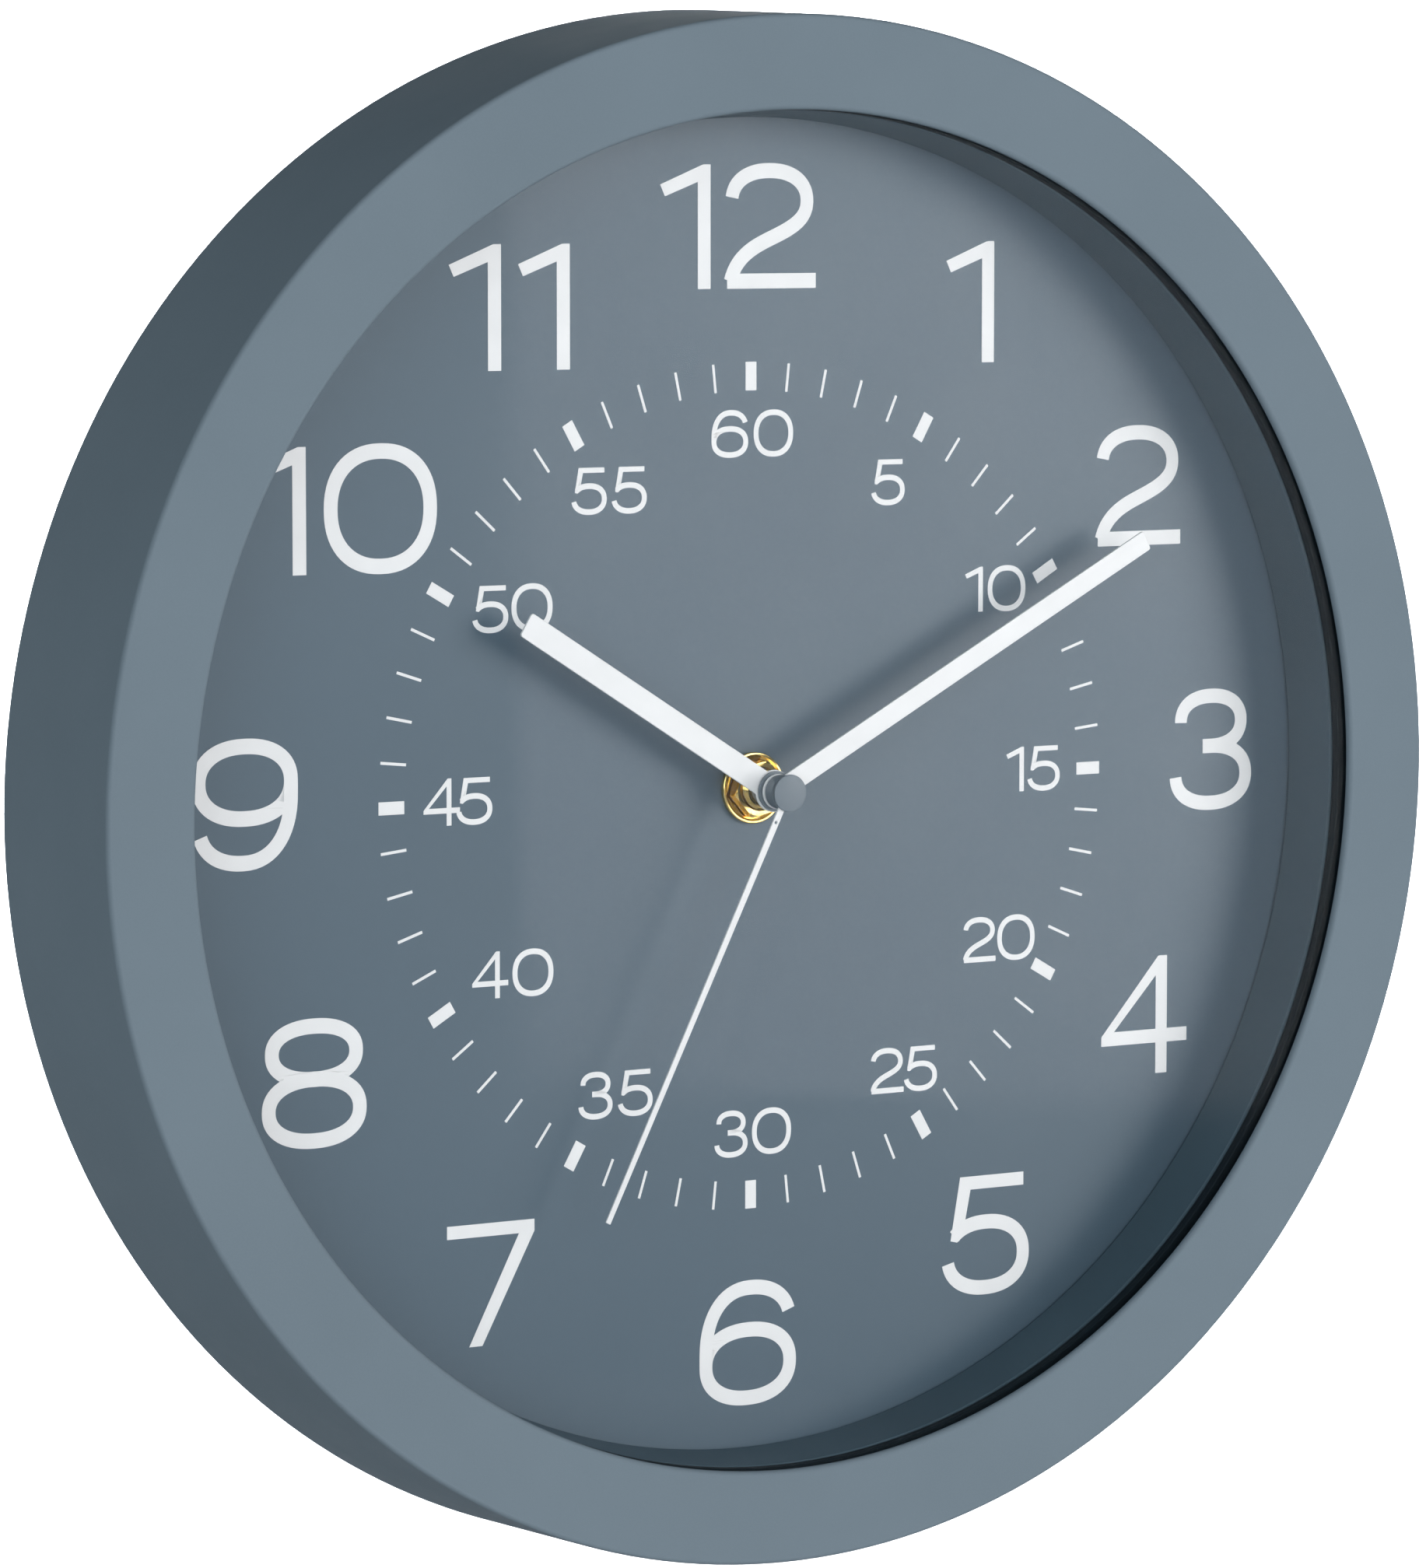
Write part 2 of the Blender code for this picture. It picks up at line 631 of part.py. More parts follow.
def make_train_plate():
    inner = MOVE_INNER - GAP
    low = BAY_ROOF + GAP
    coil_edge_x, coil_edge_y = -0.5, 15.8
    rim = [(-inner, low), (inner, low), (inner, inner), (coil_edge_x, inner),
           (coil_edge_x, coil_edge_y), (-inner, coil_edge_y)]
    holes = [ring_of_points(SECONDS_ARBOR_R + PIVOT_PLAY, 12),
             ring_of_points(1.9, 12, THIRD_AXIS),
             ring_of_points(SMALL_ARBOR_R + PIVOT_PLAY, 12, INTERMEDIATE_AXIS),
             ring_of_points(ROTOR_ARBOR_R + PIVOT_PLAY, 12, ROTOR_AXIS),
             ring_of_points(SETTING_SHAFT_R + PIVOT_PLAY, 12, SETTING_AXIS)]
    return finish(plate("train_plate", [rim, *holes], TRAIN_PLATE), "white_plastic")


def make_movement_cover():
    inner = MOVE_INNER - GAP
    sheet = (MOVE_REAR, COVER_FRONT)
    cover = block("movement_cover", (-inner, inner), (BAY_ROOF + GAP, inner), sheet)
    join(cover, drum("knob_well", WELL_R + 0.8, (MOVE_REAR + 0.2, WELL_FLOOR[1]),
                     *SETTING_AXIS, 24))
    cut(cover, drum("knob_well_room", WELL_R, (MOVE_REAR - 1, WELL_FLOOR[0]), *SETTING_AXIS, 24),
        drum("knob_shaft_hole", SETTING_SHAFT_R + PIVOT_PLAY, (MOVE_REAR - 1, WELL_FLOOR[1] + 1),
             *SETTING_AXIS, 12))
    bearings = (("seconds", HAND_AXIS, SECONDS_ARBOR_R, 3.0),
                ("third", THIRD_AXIS, SMALL_ARBOR_R, 5.5),
                ("intermediate", INTERMEDIATE_AXIS, SMALL_ARBOR_R, 3.1),
                ("rotor", ROTOR_AXIS, ROTOR_ARBOR_R, 2.9))
    for label, axis, arbor_r, front in bearings:
        join(cover, drum(f"{label}_rear_bearing", arbor_r + 0.9, (MOVE_REAR + 0.2, front),
                         *axis, 12))
    for label, axis, arbor_r, front in bearings:
        cut(cover, drum(f"{label}_rear_pivot_hole", arbor_r + PIVOT_PLAY,
                        (MOVE_REAR + 0.5, front + 1), *axis, 12))
    return finish(cover, "black_plastic")


def make_bushing_and_nut():
    inner, outer = BUSH_R
    flange_front = MOVE_FLOOR - GAP
    flange_rear = flange_front - BUSH_FLANGE_THICK
    profile = [(inner, BUSH_FRONT), (outer, BUSH_FRONT), (outer, flange_front),
               (BUSH_FLANGE_R, flange_front), (BUSH_FLANGE_R, flange_rear), (inner, flange_rear)]
    finish(turned("threaded_bushing", profile, sides=20), "brass")
    rubber = (MOVE_FRONT + GAP, BACK_REAR - GAP)
    finish(tube("rubber_washer", CENTRE_HOLE_R, RUBBER_WASHER_R, rubber, sides=20),
           "black_rubber")
    seat = DIAL_FRONT + GAP
    rim, floor_r = seat + 1.0, WASHER_R - 1.0
    dish = [(WASHER_R - 0.4, rim), (WASHER_R, rim - 0.3), (WASHER_R, seat),
            (CENTRE_HOLE_R, seat), (CENTRE_HOLE_R, seat + 0.5), (floor_r, seat + 0.6)]
    finish(turned("brass_washer", dish, sides=24), "brass")
    nut_rear = seat + 0.6 + GAP
    nut = plate("hex_nut", [ring_of_points(NUT_CORNER_R, 6, phase=radians(12)),
                            ring_of_points(CENTRE_HOLE_R, 24)], (nut_rear, nut_rear + NUT_HEIGHT))
    finish(nut, "brass")


# ---------------------------------------------------------------- electrics

def make_circuit_board():
    board = block("circuit_board", BOARD_X, BOARD_Y, BOARD_OUT)
    finish(board, "board_green")
    on_board = BOARD_OUT[1] + GAP
    dome = [(0.0, on_board + CHIP_HEIGHT), (0.57 * CHIP_R, on_board + 0.8 * CHIP_HEIGHT),
            (CHIP_R, on_board), (0.0, on_board)]
    finish(turned("clock_chip", dome, *CHIP_AT, 16, closed=False), "black_plastic")
    crystal = drum("quartz_crystal", CRYSTAL_R, (-CRYSTAL_LENGTH / 2, CRYSTAL_LENGTH / 2),
                   sides=16)
    crystal.rotation_euler = (0.0, 0.0, 0.0)
    x, y = CRYSTAL_AT
    crystal.location = Vector((x, -(on_board + CRYSTAL_R), y - AXIS_DROP)) * MM
    finish(crystal, "zinc_steel")


def make_contacts():
    pad_y, pad_out = CONTACT_PAD_Y, CONTACT_PAD_OUT
    riser_out = (STRIP_OUT[0], 5.5)
    left = (-CONTACT_X, -CONTACT_X + CONTACT_THICK)
    right = (CONTACT_X - CONTACT_THICK, CONTACT_X)
    positive = block("contact_positive", right, pad_y, pad_out)
    join(positive, block("positive_riser", right, (pad_y[1] - 4.0, BOARD_Y[0] + 2.0), riser_out))
    finish(positive, "zinc_steel")
    strip_y = (BAY_ROOF + 0.4, BAY_ROOF + 2.4)
    negative = block("contact_negative", left, pad_y, pad_out)
    join(negative, block("negative_riser", left, (pad_y[1] - 4.0, strip_y[1]), riser_out),
         block("negative_strip", (left[0], STRIP_X[1]), strip_y, STRIP_OUT),
         block("negative_tongue", STRIP_X, (strip_y[0], BOARD_Y[0] + 2.0), STRIP_OUT))
    dimple = turned("contact_dimple", [(0.0, 1.0), (1.4, 1.0), (3.0, -0.15), (0.0, -0.15)],
                    sides=16, closed=False)
    dimple.rotation_euler = (0.0, pi / 2, 0.0)
    dimple.location = Vector((left[1], -BATTERY_OUT, BATTERY_Y - AXIS_DROP)) * MM
    join(negative, dimple)
    finish(negative, "zinc_steel")


def make_battery():
    """The cell lies along x, with its nub to the right."""
    edge = 0.6
    profile = [(0.0, BATTERY_RIGHT + NUB_LENGTH), (NUB_R, BATTERY_RIGHT + NUB_LENGTH),
               (NUB_R, BATTERY_RIGHT), (BATTERY_R - edge, BATTERY_RIGHT),
               (BATTERY_R, BATTERY_RIGHT - edge), (BATTERY_R, BATTERY_LEFT + edge),
               (BATTERY_R - edge, BATTERY_LEFT), (0.0, BATTERY_LEFT)]
    battery = turned("battery", profile, sides=24, closed=False)
    battery.rotation_euler = (0.0, pi / 2, 0.0)
    battery.location = Vector((0.0, -BATTERY_OUT, BATTERY_Y - AXIS_DROP)) * MM
    finish(battery, "battery_jacket")


def make_motor():
    left, right = STATOR_X
    bridge_low, bridge_high = STATOR_BRIDGE_Y
    leg_high = COIL_Y + 1.6
    rim = [(left, bridge_low), (right, bridge_low), (right, leg_high), (right - LEG_W, leg_high),
           (right - LEG_W, bridge_high), (left + LEG_W, bridge_high), (left + LEG_W, leg_high),
           (left, leg_high)]
    stator = plate("stator", [rim, ring_of_points(STATOR_HOLE_R, 24, ROTOR_AXIS)], STATOR_OUT)
    finish(stator, "zinc_steel")
    core = block("coil_core", (left + 0.4, right + 0.2),
                 (COIL_Y - CORE_HALF_W, COIL_Y + CORE_HALF_W), CORE_OUT)
    finish(core, "zinc_steel")
    coil_left, coil_right = left + LEG_W + GAP, right - LEG_W - GAP
    flange = 0.8
    profile = [(0.0, coil_right), (COIL_FLANGE_R, coil_right),
               (COIL_FLANGE_R, coil_right - flange), (COIL_WIRE_R, coil_right - flange),
               (COIL_WIRE_R, coil_left + flange), (COIL_FLANGE_R, coil_left + flange),
               (COIL_FLANGE_R, coil_left), (0.0, coil_left)]
    coil = turned("coil_winding", profile, sides=20, closed=False)
    coil.rotation_euler = (0.0, pi / 2, 0.0)
    core_middle = (CORE_OUT[0] + CORE_OUT[1]) / 2
    coil.location = Vector((0.0, -core_middle, COIL_Y - AXIS_DROP)) * MM
    cut(coil, block("core_channel", (left - 1, right + 1),
                    (COIL_Y - CORE_HALF_W - GAP, COIL_Y + CORE_HALF_W + GAP),
                    (CORE_OUT[0] - GAP, CORE_OUT[1] + GAP)))
    finish(coil, "copper_wire")


# ---------------------------------------------------------------- wheels and arbors

def toothed(name, gear, tooth, phase, out_span, axis, bore_r=0.0):
    """A toothed disc, with an optional bore."""
    outlines = [gear_outline(gear, tooth, phase)]
    if bore_r:
        outlines.append(ring_of_points(bore_r, 12))
    return plate(name, outlines, out_span, *axis)


def arbor(name, radius, out_span, axis, sides=16):
    return drum(name, radius, out_span, *axis, sides)


def make_rotor():
    rotor = arbor("rotor", ROTOR_ARBOR_R, (PIVOT_REAR, TRAIN_PLATE[1] - 0.1), ROTOR_AXIS)
    hub_out = (ROTOR_PINION_LAYER[1], MAGNET_OUT[1] + GAP)
    join(rotor, drum("rotor_hub", MAGNET_R[0] - GAP, hub_out, *ROTOR_AXIS, 16),
         toothed("rotor_teeth", ROTOR_PINION, PINION_TOOTH, ROTOR_PHASE,
                 (ROTOR_PINION_LAYER[0], ROTOR_PINION_LAYER[1] + 0.3), ROTOR_AXIS))
    finish(rotor, "white_plastic")
    finish(tube("rotor_magnet", *MAGNET_R, MAGNET_OUT, *ROTOR_AXIS, 16), "magnet_grey")


def make_intermediate_wheel():
    low, high = INTERMEDIATE_LAYER
    wheel = arbor("intermediate_wheel", SMALL_ARBOR_R, (PIVOT_REAR, TRAIN_PLATE[1] - 0.1),
                  INTERMEDIATE_AXIS)
    join(wheel, toothed("intermediate_teeth", INTERMEDIATE_GEAR, WHEEL_TOOTH, 0.0, (low, high),
                        INTERMEDIATE_AXIS),
         toothed("intermediate_pinion", INTERMEDIATE_PINION, PINION_TOOTH,
                 INTERMEDIATE_PINION_PHASE, (high - 0.2, SECONDS_LAYER[1] + 0.4),
                 INTERMEDIATE_AXIS))
    finish(wheel, "white_plastic")


def make_seconds_wheel():
    low, high = SECONDS_LAYER
    wheel = arbor("seconds_wheel", SECONDS_ARBOR_R, (PIVOT_REAR, SECOND_HAND["front"] + 0.1), HAND_AXIS)
    join(wheel, toothed("seconds_teeth", SECONDS_GEAR, WHEEL_TOOTH, 0.0, (low, high), HAND_AXIS),
         toothed("seconds_pinion", SECONDS_PINION, PINION_TOOTH, 0.0,
                 (high - 0.2, THIRD_LAYER[1] + 0.4), HAND_AXIS))
    finish(wheel, "white_plastic")


def make_third_wheel():
    low, high = THIRD_LAYER
    wheel = arbor("third_wheel", SMALL_ARBOR_R, (PIVOT_REAR, MOVE_FLOOR - GAP), THIRD_AXIS)
    join(wheel, toothed("third_teeth", THIRD_GEAR, WHEEL_TOOTH, THIRD_PHASE, (low, high),
                        THIRD_AXIS),
         toothed("third_pinion", THIRD_PINION, PINION_TOOTH, 0.0,
                 (TRAIN_PLATE[1] + GAP, CENTRE_LAYER[1] + 0.4), THIRD_AXIS))
    finish(wheel, "white_plastic")


def make_centre_wheel():
    """The wheel grips the minute arbor by friction, so the hands can be set."""
    wheel = toothed("centre_wheel", CENTRE_GEAR, WHEEL_TOOTH, CENTRE_PHASE, CENTRE_LAYER,
                    HAND_AXIS, MINUTE_TUBE[1] + GAP)
    finish(wheel, "white_plastic")
    inner, outer = MINUTE_TUBE
    cannon_rear = CENTRE_LAYER[1] + GAP
    tube_front = MINUTE_HAND["front"] + 0.1
    minute_arbor = tube("minute_arbor", inner, outer, (TRAIN_PLATE[1] + GAP, tube_front),
                        sides=20)
    join(minute_arbor, toothed("cannon_pinion", CANNON_PINION, PINION_TOOTH, 0.0,
                               (cannon_rear, MINUTE_LAYER[1] + 0.4), HAND_AXIS,
                               (inner + outer) / 2))
    finish(minute_arbor, "brass")


def make_hour_wheel():
    inner, outer = HOUR_TUBE
    wheel = tube("hour_wheel", inner, outer,
                 (HOUR_LAYER[0] - 0.4, HOUR_HAND["front"] + 0.1), sides=24)
    join(wheel, toothed("hour_teeth", HOUR_GEAR, WHEEL_TOOTH, HOUR_PHASE, HOUR_LAYER, HAND_AXIS,
                        (inner + outer) / 2))
    finish(wheel, "white_plastic")


def make_minute_wheel():
    low, high = MINUTE_LAYER
    bore_r = MINUTE_STUD_R + PIVOT_PLAY
    wheel = toothed("minute_wheel", MINUTE_GEAR, WHEEL_TOOTH, MINUTE_PHASE, (low, high),
                    MINUTE_AXIS, bore_r)
    join(wheel, toothed("minute_pinion", MINUTE_PINION, PINION_TOOTH, 0.0,
                        (high - 0.2, HOUR_LAYER[1] + 0.4), MINUTE_AXIS, bore_r))
    finish(wheel, "white_plastic")


def make_time_setting():
    shaft = arbor("setting_shaft", SETTING_SHAFT_R, (KNOB_SHAFT_REAR, MINUTE_LAYER[1] + 0.6),
                  SETTING_AXIS)
    join(shaft, arbor("setting_pivot", SMALL_ARBOR_R, (11.0, MOVE_FLOOR - GAP), SETTING_AXIS, 12),
         toothed("setting_teeth", SETTING_PINION, PINION_TOOTH, SETTING_PHASE,
                 (MINUTE_LAYER[0] - 0.3, MINUTE_LAYER[1] + 0.3), SETTING_AXIS))
    finish(shaft, "white_plastic")
    grip = []
    pitch = TURN / KNOB_RIBS
    for i in range(KNOB_RIBS):
        middle = i * pitch
        grip += [polar(KNOB_R, middle - 0.25 * pitch), polar(KNOB_R, middle + 0.25 * pitch),
                 polar(KNOB_R - 0.4, middle + 0.4 * pitch),
                 polar(KNOB_R - 0.4, middle + 0.6 * pitch)]
    knob = plate("set_knob", [grip], KNOB_OUT, *SETTING_AXIS)
    socket_floor = KNOB_SHAFT_REAR - GAP
    cut(knob, drum("knob_socket", SETTING_SHAFT_R + GAP, (socket_floor, KNOB_OUT[1] + 1),
                   *SETTING_AXIS, 16))
    finish(knob, "white_plastic")


# ---------------------------------------------------------------- hands

def hand_outline(hand):
    """An eye at the axis and a straight blade along +y, turned to the hand's place."""
    half, tip_half = hand["width"] / 2, hand["tip"] / 2
    meet = 180 / pi * atan2(half, sqrt(hand["eye_r"] ** 2 - half ** 2))
    points = arc((0.0, 0.0), hand["eye_r"], 90 + meet, 450 - meet, 28)
    points += [(tip_half, hand["length"]), (-tip_half, hand["length"])]
    turn = Matrix.Rotation(-radians(hand["angle"]), 2)
    return [tuple(turn @ Vector(point)) for point in points]


def make_hand(name, hand, hole_r):
    outlines = [hand_outline(hand), ring_of_points(hole_r, 24)]
    return finish(plate(name, outlines, (hand["rear"], hand["front"])), "white_enamel")


def make_hands():
    make_hand("hour_hand", HOUR_HAND, HOUR_COLLAR_R + GAP)
    bore_r = HOUR_TUBE[1] + GAP
    flange_rear = HOUR_HAND["front"] + GAP
    flange_front = MINUTE_HAND["rear"] - GAP
    collar = [(bore_r, flange_front), (HOUR_FLANGE_R, flange_front),
              (HOUR_FLANGE_R, flange_rear), (HOUR_COLLAR_R, flange_rear),
              (HOUR_COLLAR_R, HOUR_COLLAR_REAR), (bore_r, HOUR_COLLAR_REAR)]
    finish(turned("hour_hand_hub", collar), "blue_grey_plastic")
    make_hand("minute_hand", MINUTE_HAND, MINUTE_TUBE[1] + GAP)
    bore_r = SECONDS_ARBOR_R + GAP
    hub = tube("second_hand_hub", bore_r, HUB_R, (HUB_REAR, SECOND_HAND["rear"] - GAP))
    finish(hub, "blue_grey_plastic")
    make_hand("second_hand", SECOND_HAND, bore_r)
    cap_rear = SECOND_HAND["front"] + GAP
    cap_front = cap_rear + CAP_THICK
    cap = turned("second_hand_cap", [(0.0, cap_front), (CAP_R - 0.3, cap_front),
                                     (CAP_R, cap_front - 0.2), (CAP_R, cap_rear),
                                     (0.0, cap_rear)], closed=False)
    finish(cap, "blue_grey_plastic")


def main():
    make_case_ring()
    make_lens()
    make_lens_gasket()
    make_inner_ring()
    make_dial()
    make_back_plate()
    make_hanger()
    make_screws()
    make_movement_case()
    make_train_plate()
    make_movement_cover()
    make_bushing_and_nut()
    make_circuit_board()
    make_contacts()
    make_battery()
    make_motor()
    make_rotor()
    make_intermediate_wheel()
    make_seconds_wheel()
    make_third_wheel()
    make_centre_wheel()
    make_minute_wheel()
    make_hour_wheel()
    make_time_setting()
    make_hands()


main()
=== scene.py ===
"""Looks of the round quartz wall clock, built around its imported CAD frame.

Lengths are in millimetres unless a name ends in _M. Pieces are drawn face-on, as the clock
hangs: x to the right and y up from the hand axis, and "out" is the distance from the wall
towards the room. The helpers turn that into the frame's metres, where the dial faces -Y.
"""

from math import atan2, copysign, cos, pi, radians, sin, sqrt

import bmesh
import bpy
from mathutils import Matrix, Vector


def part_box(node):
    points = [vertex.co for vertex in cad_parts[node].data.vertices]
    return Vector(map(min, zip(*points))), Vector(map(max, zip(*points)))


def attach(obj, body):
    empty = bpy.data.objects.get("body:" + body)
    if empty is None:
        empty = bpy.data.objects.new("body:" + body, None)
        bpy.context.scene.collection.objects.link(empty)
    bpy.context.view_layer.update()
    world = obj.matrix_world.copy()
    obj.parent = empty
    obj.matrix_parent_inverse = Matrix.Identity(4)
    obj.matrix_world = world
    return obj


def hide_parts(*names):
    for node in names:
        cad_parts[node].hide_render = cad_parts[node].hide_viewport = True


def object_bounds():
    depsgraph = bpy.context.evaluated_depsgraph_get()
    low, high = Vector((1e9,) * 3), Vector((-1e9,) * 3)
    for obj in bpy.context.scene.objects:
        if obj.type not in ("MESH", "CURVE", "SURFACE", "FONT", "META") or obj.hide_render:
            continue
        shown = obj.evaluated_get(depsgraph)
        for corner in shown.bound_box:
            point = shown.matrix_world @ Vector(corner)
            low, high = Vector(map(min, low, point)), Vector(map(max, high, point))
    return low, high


MM = 0.001
TURN = 2 * pi
SHARP_ANGLE = 32               # degrees between faces; an edge above this is drawn sharp
SAME_SPOT_M = 0.0000005        # corners this near are one corner
HAIRLINE_M = 0.000002          # cracks this narrow are closed after a boolean

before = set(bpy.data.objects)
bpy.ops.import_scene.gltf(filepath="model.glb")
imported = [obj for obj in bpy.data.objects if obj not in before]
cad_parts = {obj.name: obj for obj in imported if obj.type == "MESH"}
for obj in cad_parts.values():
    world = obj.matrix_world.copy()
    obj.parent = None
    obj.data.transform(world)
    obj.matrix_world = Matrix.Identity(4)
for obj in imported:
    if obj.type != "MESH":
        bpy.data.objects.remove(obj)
cad_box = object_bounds()


# ---------------------------------------------------------------- reading the frame

def box_mm(node):
    """(x span, y span, out span) of a CAD node in the face-on axes."""
    low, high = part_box(node)
    return ((low.x / MM, high.x / MM), ((low.z - AXIS_Z) / MM, (high.z - AXIS_Z) / MM),
            (-high.y / MM, -low.y / MM))


def out_span(node):
    return box_mm(node)[2]


def radius_of(node):
    x_span = box_mm(node)[0]
    return (x_span[1] - x_span[0]) / 2


def middle_of(node):
    """Middle of a node, face-on."""
    x_span, y_span, _ = box_mm(node)
    return (x_span[0] + x_span[1]) / 2, (y_span[0] + y_span[1]) / 2


AXIS_Z = sum(corner.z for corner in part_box("dial")) / 2
CASE_R = radius_of("case_ring")
CASE_DEPTH = out_span("case_ring")[1]
DIAL_FRONT = out_span("dial")[1]
LENS_REAR, LENS_FRONT = out_span("lens")

# Case, as turned in the CAD
CASE_TAPER = 1.5               # the wall's loss of radius from rear to front
CASE_WALL = 2.6
LIP_R = 130.4
RING_DIAL_R = 129.1
SKIRT_R = 134.6
SKIRT_WALL = 2.0
SKIRT_REAR = 20.0
BOSS_CIRCLE_R = 141.0
FINE_SIDES = 240

# Hands: clockwise degrees from twelve, and sizes face-on
HANDS = {
    "hour": {"angle": -58.2, "length": 64.8, "width": 5.0, "tip": 5.0, "eye_r": 4.1},
    "minute": {"angle": 62.1, "length": 98.0, "width": 4.1, "tip": 4.1, "eye_r": 3.4},
    "second": {"angle": 206.8, "length": 89.7, "width": 1.4, "tip": 1.1, "eye_r": 2.9},
}

# Print on the dial
PRINT_THICK = 0.05
PRINT_FOOT = DIAL_FRONT - 0.01    # sunk in a little, so that no gap shows
TICK_R = 79.5
TICK_LENGTH = 5.5
BOLD_TICK = 2.5
FINE_TICK = 0.56


# ---------------------------------------------------------------- meshes

def place(x, y, out):
    return Vector((x * MM, -out * MM, y * MM + AXIS_Z))


def linked(name, data):
    """A new object in the scene."""
    obj = bpy.data.objects.new(name, data)
    bpy.context.scene.collection.objects.link(obj)
    return obj


def new_object(name, mesh, sharp=SHARP_ANGLE):
    mesh.shade_smooth()
    mesh.set_sharp_from_angle(angle=radians(sharp))
    obj = linked(name, mesh)
    even = obj.modifiers.new("even_normals", "WEIGHTED_NORMAL")
    even.keep_sharp = True
    return obj


def written(work, name):
    """The mesh that a bmesh holds."""
    mesh = bpy.data.meshes.new(name)
    work.to_mesh(mesh)
    work.free()
    return mesh


def mesh_from(work, name):
    """The same, with doubled corners merged and its faces pointing out."""
    bmesh.ops.remove_doubles(work, verts=work.verts, dist=SAME_SPOT_M)
    bmesh.ops.recalc_face_normals(work, faces=work.faces)
    return written(work, name)


def evaluated(obj):
    """A mesh of the object with its modifiers or its bevel worked out."""
    graph = bpy.context.evaluated_depsgraph_get()
    return bpy.data.meshes.new_from_object(obj.evaluated_get(graph))


def taken(mesh):
    """A bmesh of a mesh that is no longer needed."""
    work = bmesh.new()
    work.from_mesh(mesh)
    bpy.data.meshes.remove(mesh)
    return work


def from_curve(name, curve):
    """A mesh of the curve's surface, in place of the curve."""
    source = linked(name, curve)
    mesh = evaluated(source)
    bpy.data.objects.remove(source, do_unlink=True)
    bpy.data.curves.remove(curve)
    return mesh


def rounded(profile, radius, steps=4, closed=True):
    """The profile with an arc of about the given radius at each of its corners."""
    count = len(profile)
    result = []
    for i, corner in enumerate(profile):
        if not closed and i in (0, count - 1):
            result.append(corner)
            continue
        here = Vector(corner)
        before = Vector(profile[i - 1]) - here
        after = Vector(profile[(i + 1) % count]) - here
        half = before.angle(after) / 2
        reach = min(radius / max(abs(sin(half)), 0.05) * cos(half), 0.45 * before.length,
                    0.45 * after.length)
        start = here + before.normalized() * reach
        end = here + after.normalized() * reach
        for k in range(steps + 1):
            t = k / steps
            result.append(tuple(start * (1 - t) ** 2 + here * 2 * t * (1 - t) + end * t ** 2))
    return result


def turned_spot(radius, along, angle, x, y, out):
    """A spot on a turned surface: about the out axis, or about the x axis if out is given."""
    if out is None:
        return place(x + radius * cos(angle), y + radius * sin(angle), along)
    return place(x + along, y + radius * cos(angle), out + radius * sin(angle))


def add_lathe(work, profile, x=0.0, y=0.0, sides=FINE_SIDES, out=None):
    """Turn a loop of (radius, distance along the axis) points about an axis through a spot."""
    rings = []
    for radius, along in profile:
        count = sides if radius > 0.001 else 1
        rings.append([work.verts.new(turned_spot(radius, along, TURN * k / count, x, y, out))
                      for k in range(count)])
    for first, second in zip(rings, rings[1:] + rings[:1]):
        for k in range(sides):
            m = (k + 1) % sides
            corners = [first[k % len(first)], first[m % len(first)],
                       second[m % len(second)], second[k % len(second)]]
            unique = list(dict.fromkeys(corners))
            if len(unique) > 2:
                work.faces.new(unique)


def lathe(name, profile, x=0.0, y=0.0, sides=FINE_SIDES, out=None):
    work = bmesh.new()
    add_lathe(work, profile, x, y, sides, out)
    return new_object(name, mesh_from(work, name))


def drum(name, radius, span, x=0.0, y=0.0, sides=48, edge=0.1, foot_r=None):
    """A round post, with its far edge rounded and an optional wider foot for mould draft."""
    profile = rounded([(0.0, span[0]), (radius, span[0]), (foot_r or radius, span[1]),
                       (0.0, span[1])], edge, 2, closed=False)
    return lathe(name, profile, x, y, sides)


def add_prism(work, layers):
    """A four-sided solid between two layers, each with its corners and its out."""
    low, high = [[work.verts.new(place(corner.x, corner.y, out)) for corner in corners]
                 for corners, out in layers]
    work.faces.new(low[::-1])
    work.faces.new(high)
    for k in range(4):
        m = (k + 1) % 4
        work.faces.new([low[k], low[m], high[m], high[k]])


def polar(radius, angle, centre=(0.0, 0.0)):
    return (centre[0] + radius * cos(angle), centre[1] + radius * sin(angle))


def circle(radius, count, centre=(0.0, 0.0)):
    return [polar(radius, TURN * i / count, centre) for i in range(count)]


def arc(centre, radius, start, end, steps):
    return [polar(radius, radians(start + (end - start) * i / steps), centre)
            for i in range(steps + 1)]


def box_outline(x_span, y_span, radius):
    """A rectangle with rounded corners."""
    (x0, x1), (y0, y1), r = x_span, y_span, radius
    return (arc((x1 - r, y1 - r), r, 0, 90, 5) + arc((x0 + r, y1 - r), r, 90, 180, 5)
            + arc((x0 + r, y0 + r), r, 180, 270, 5) + arc((x1 - r, y0 + r), r, 270, 360, 5))


def turned_outline(points, angle, x=0.0, y=0.0):
    """The points turned anticlockwise about the origin, then moved."""
    turn = Matrix.Rotation(angle, 2)
    return [tuple(turn @ Vector(point) + Vector((x, y))) for point in points]


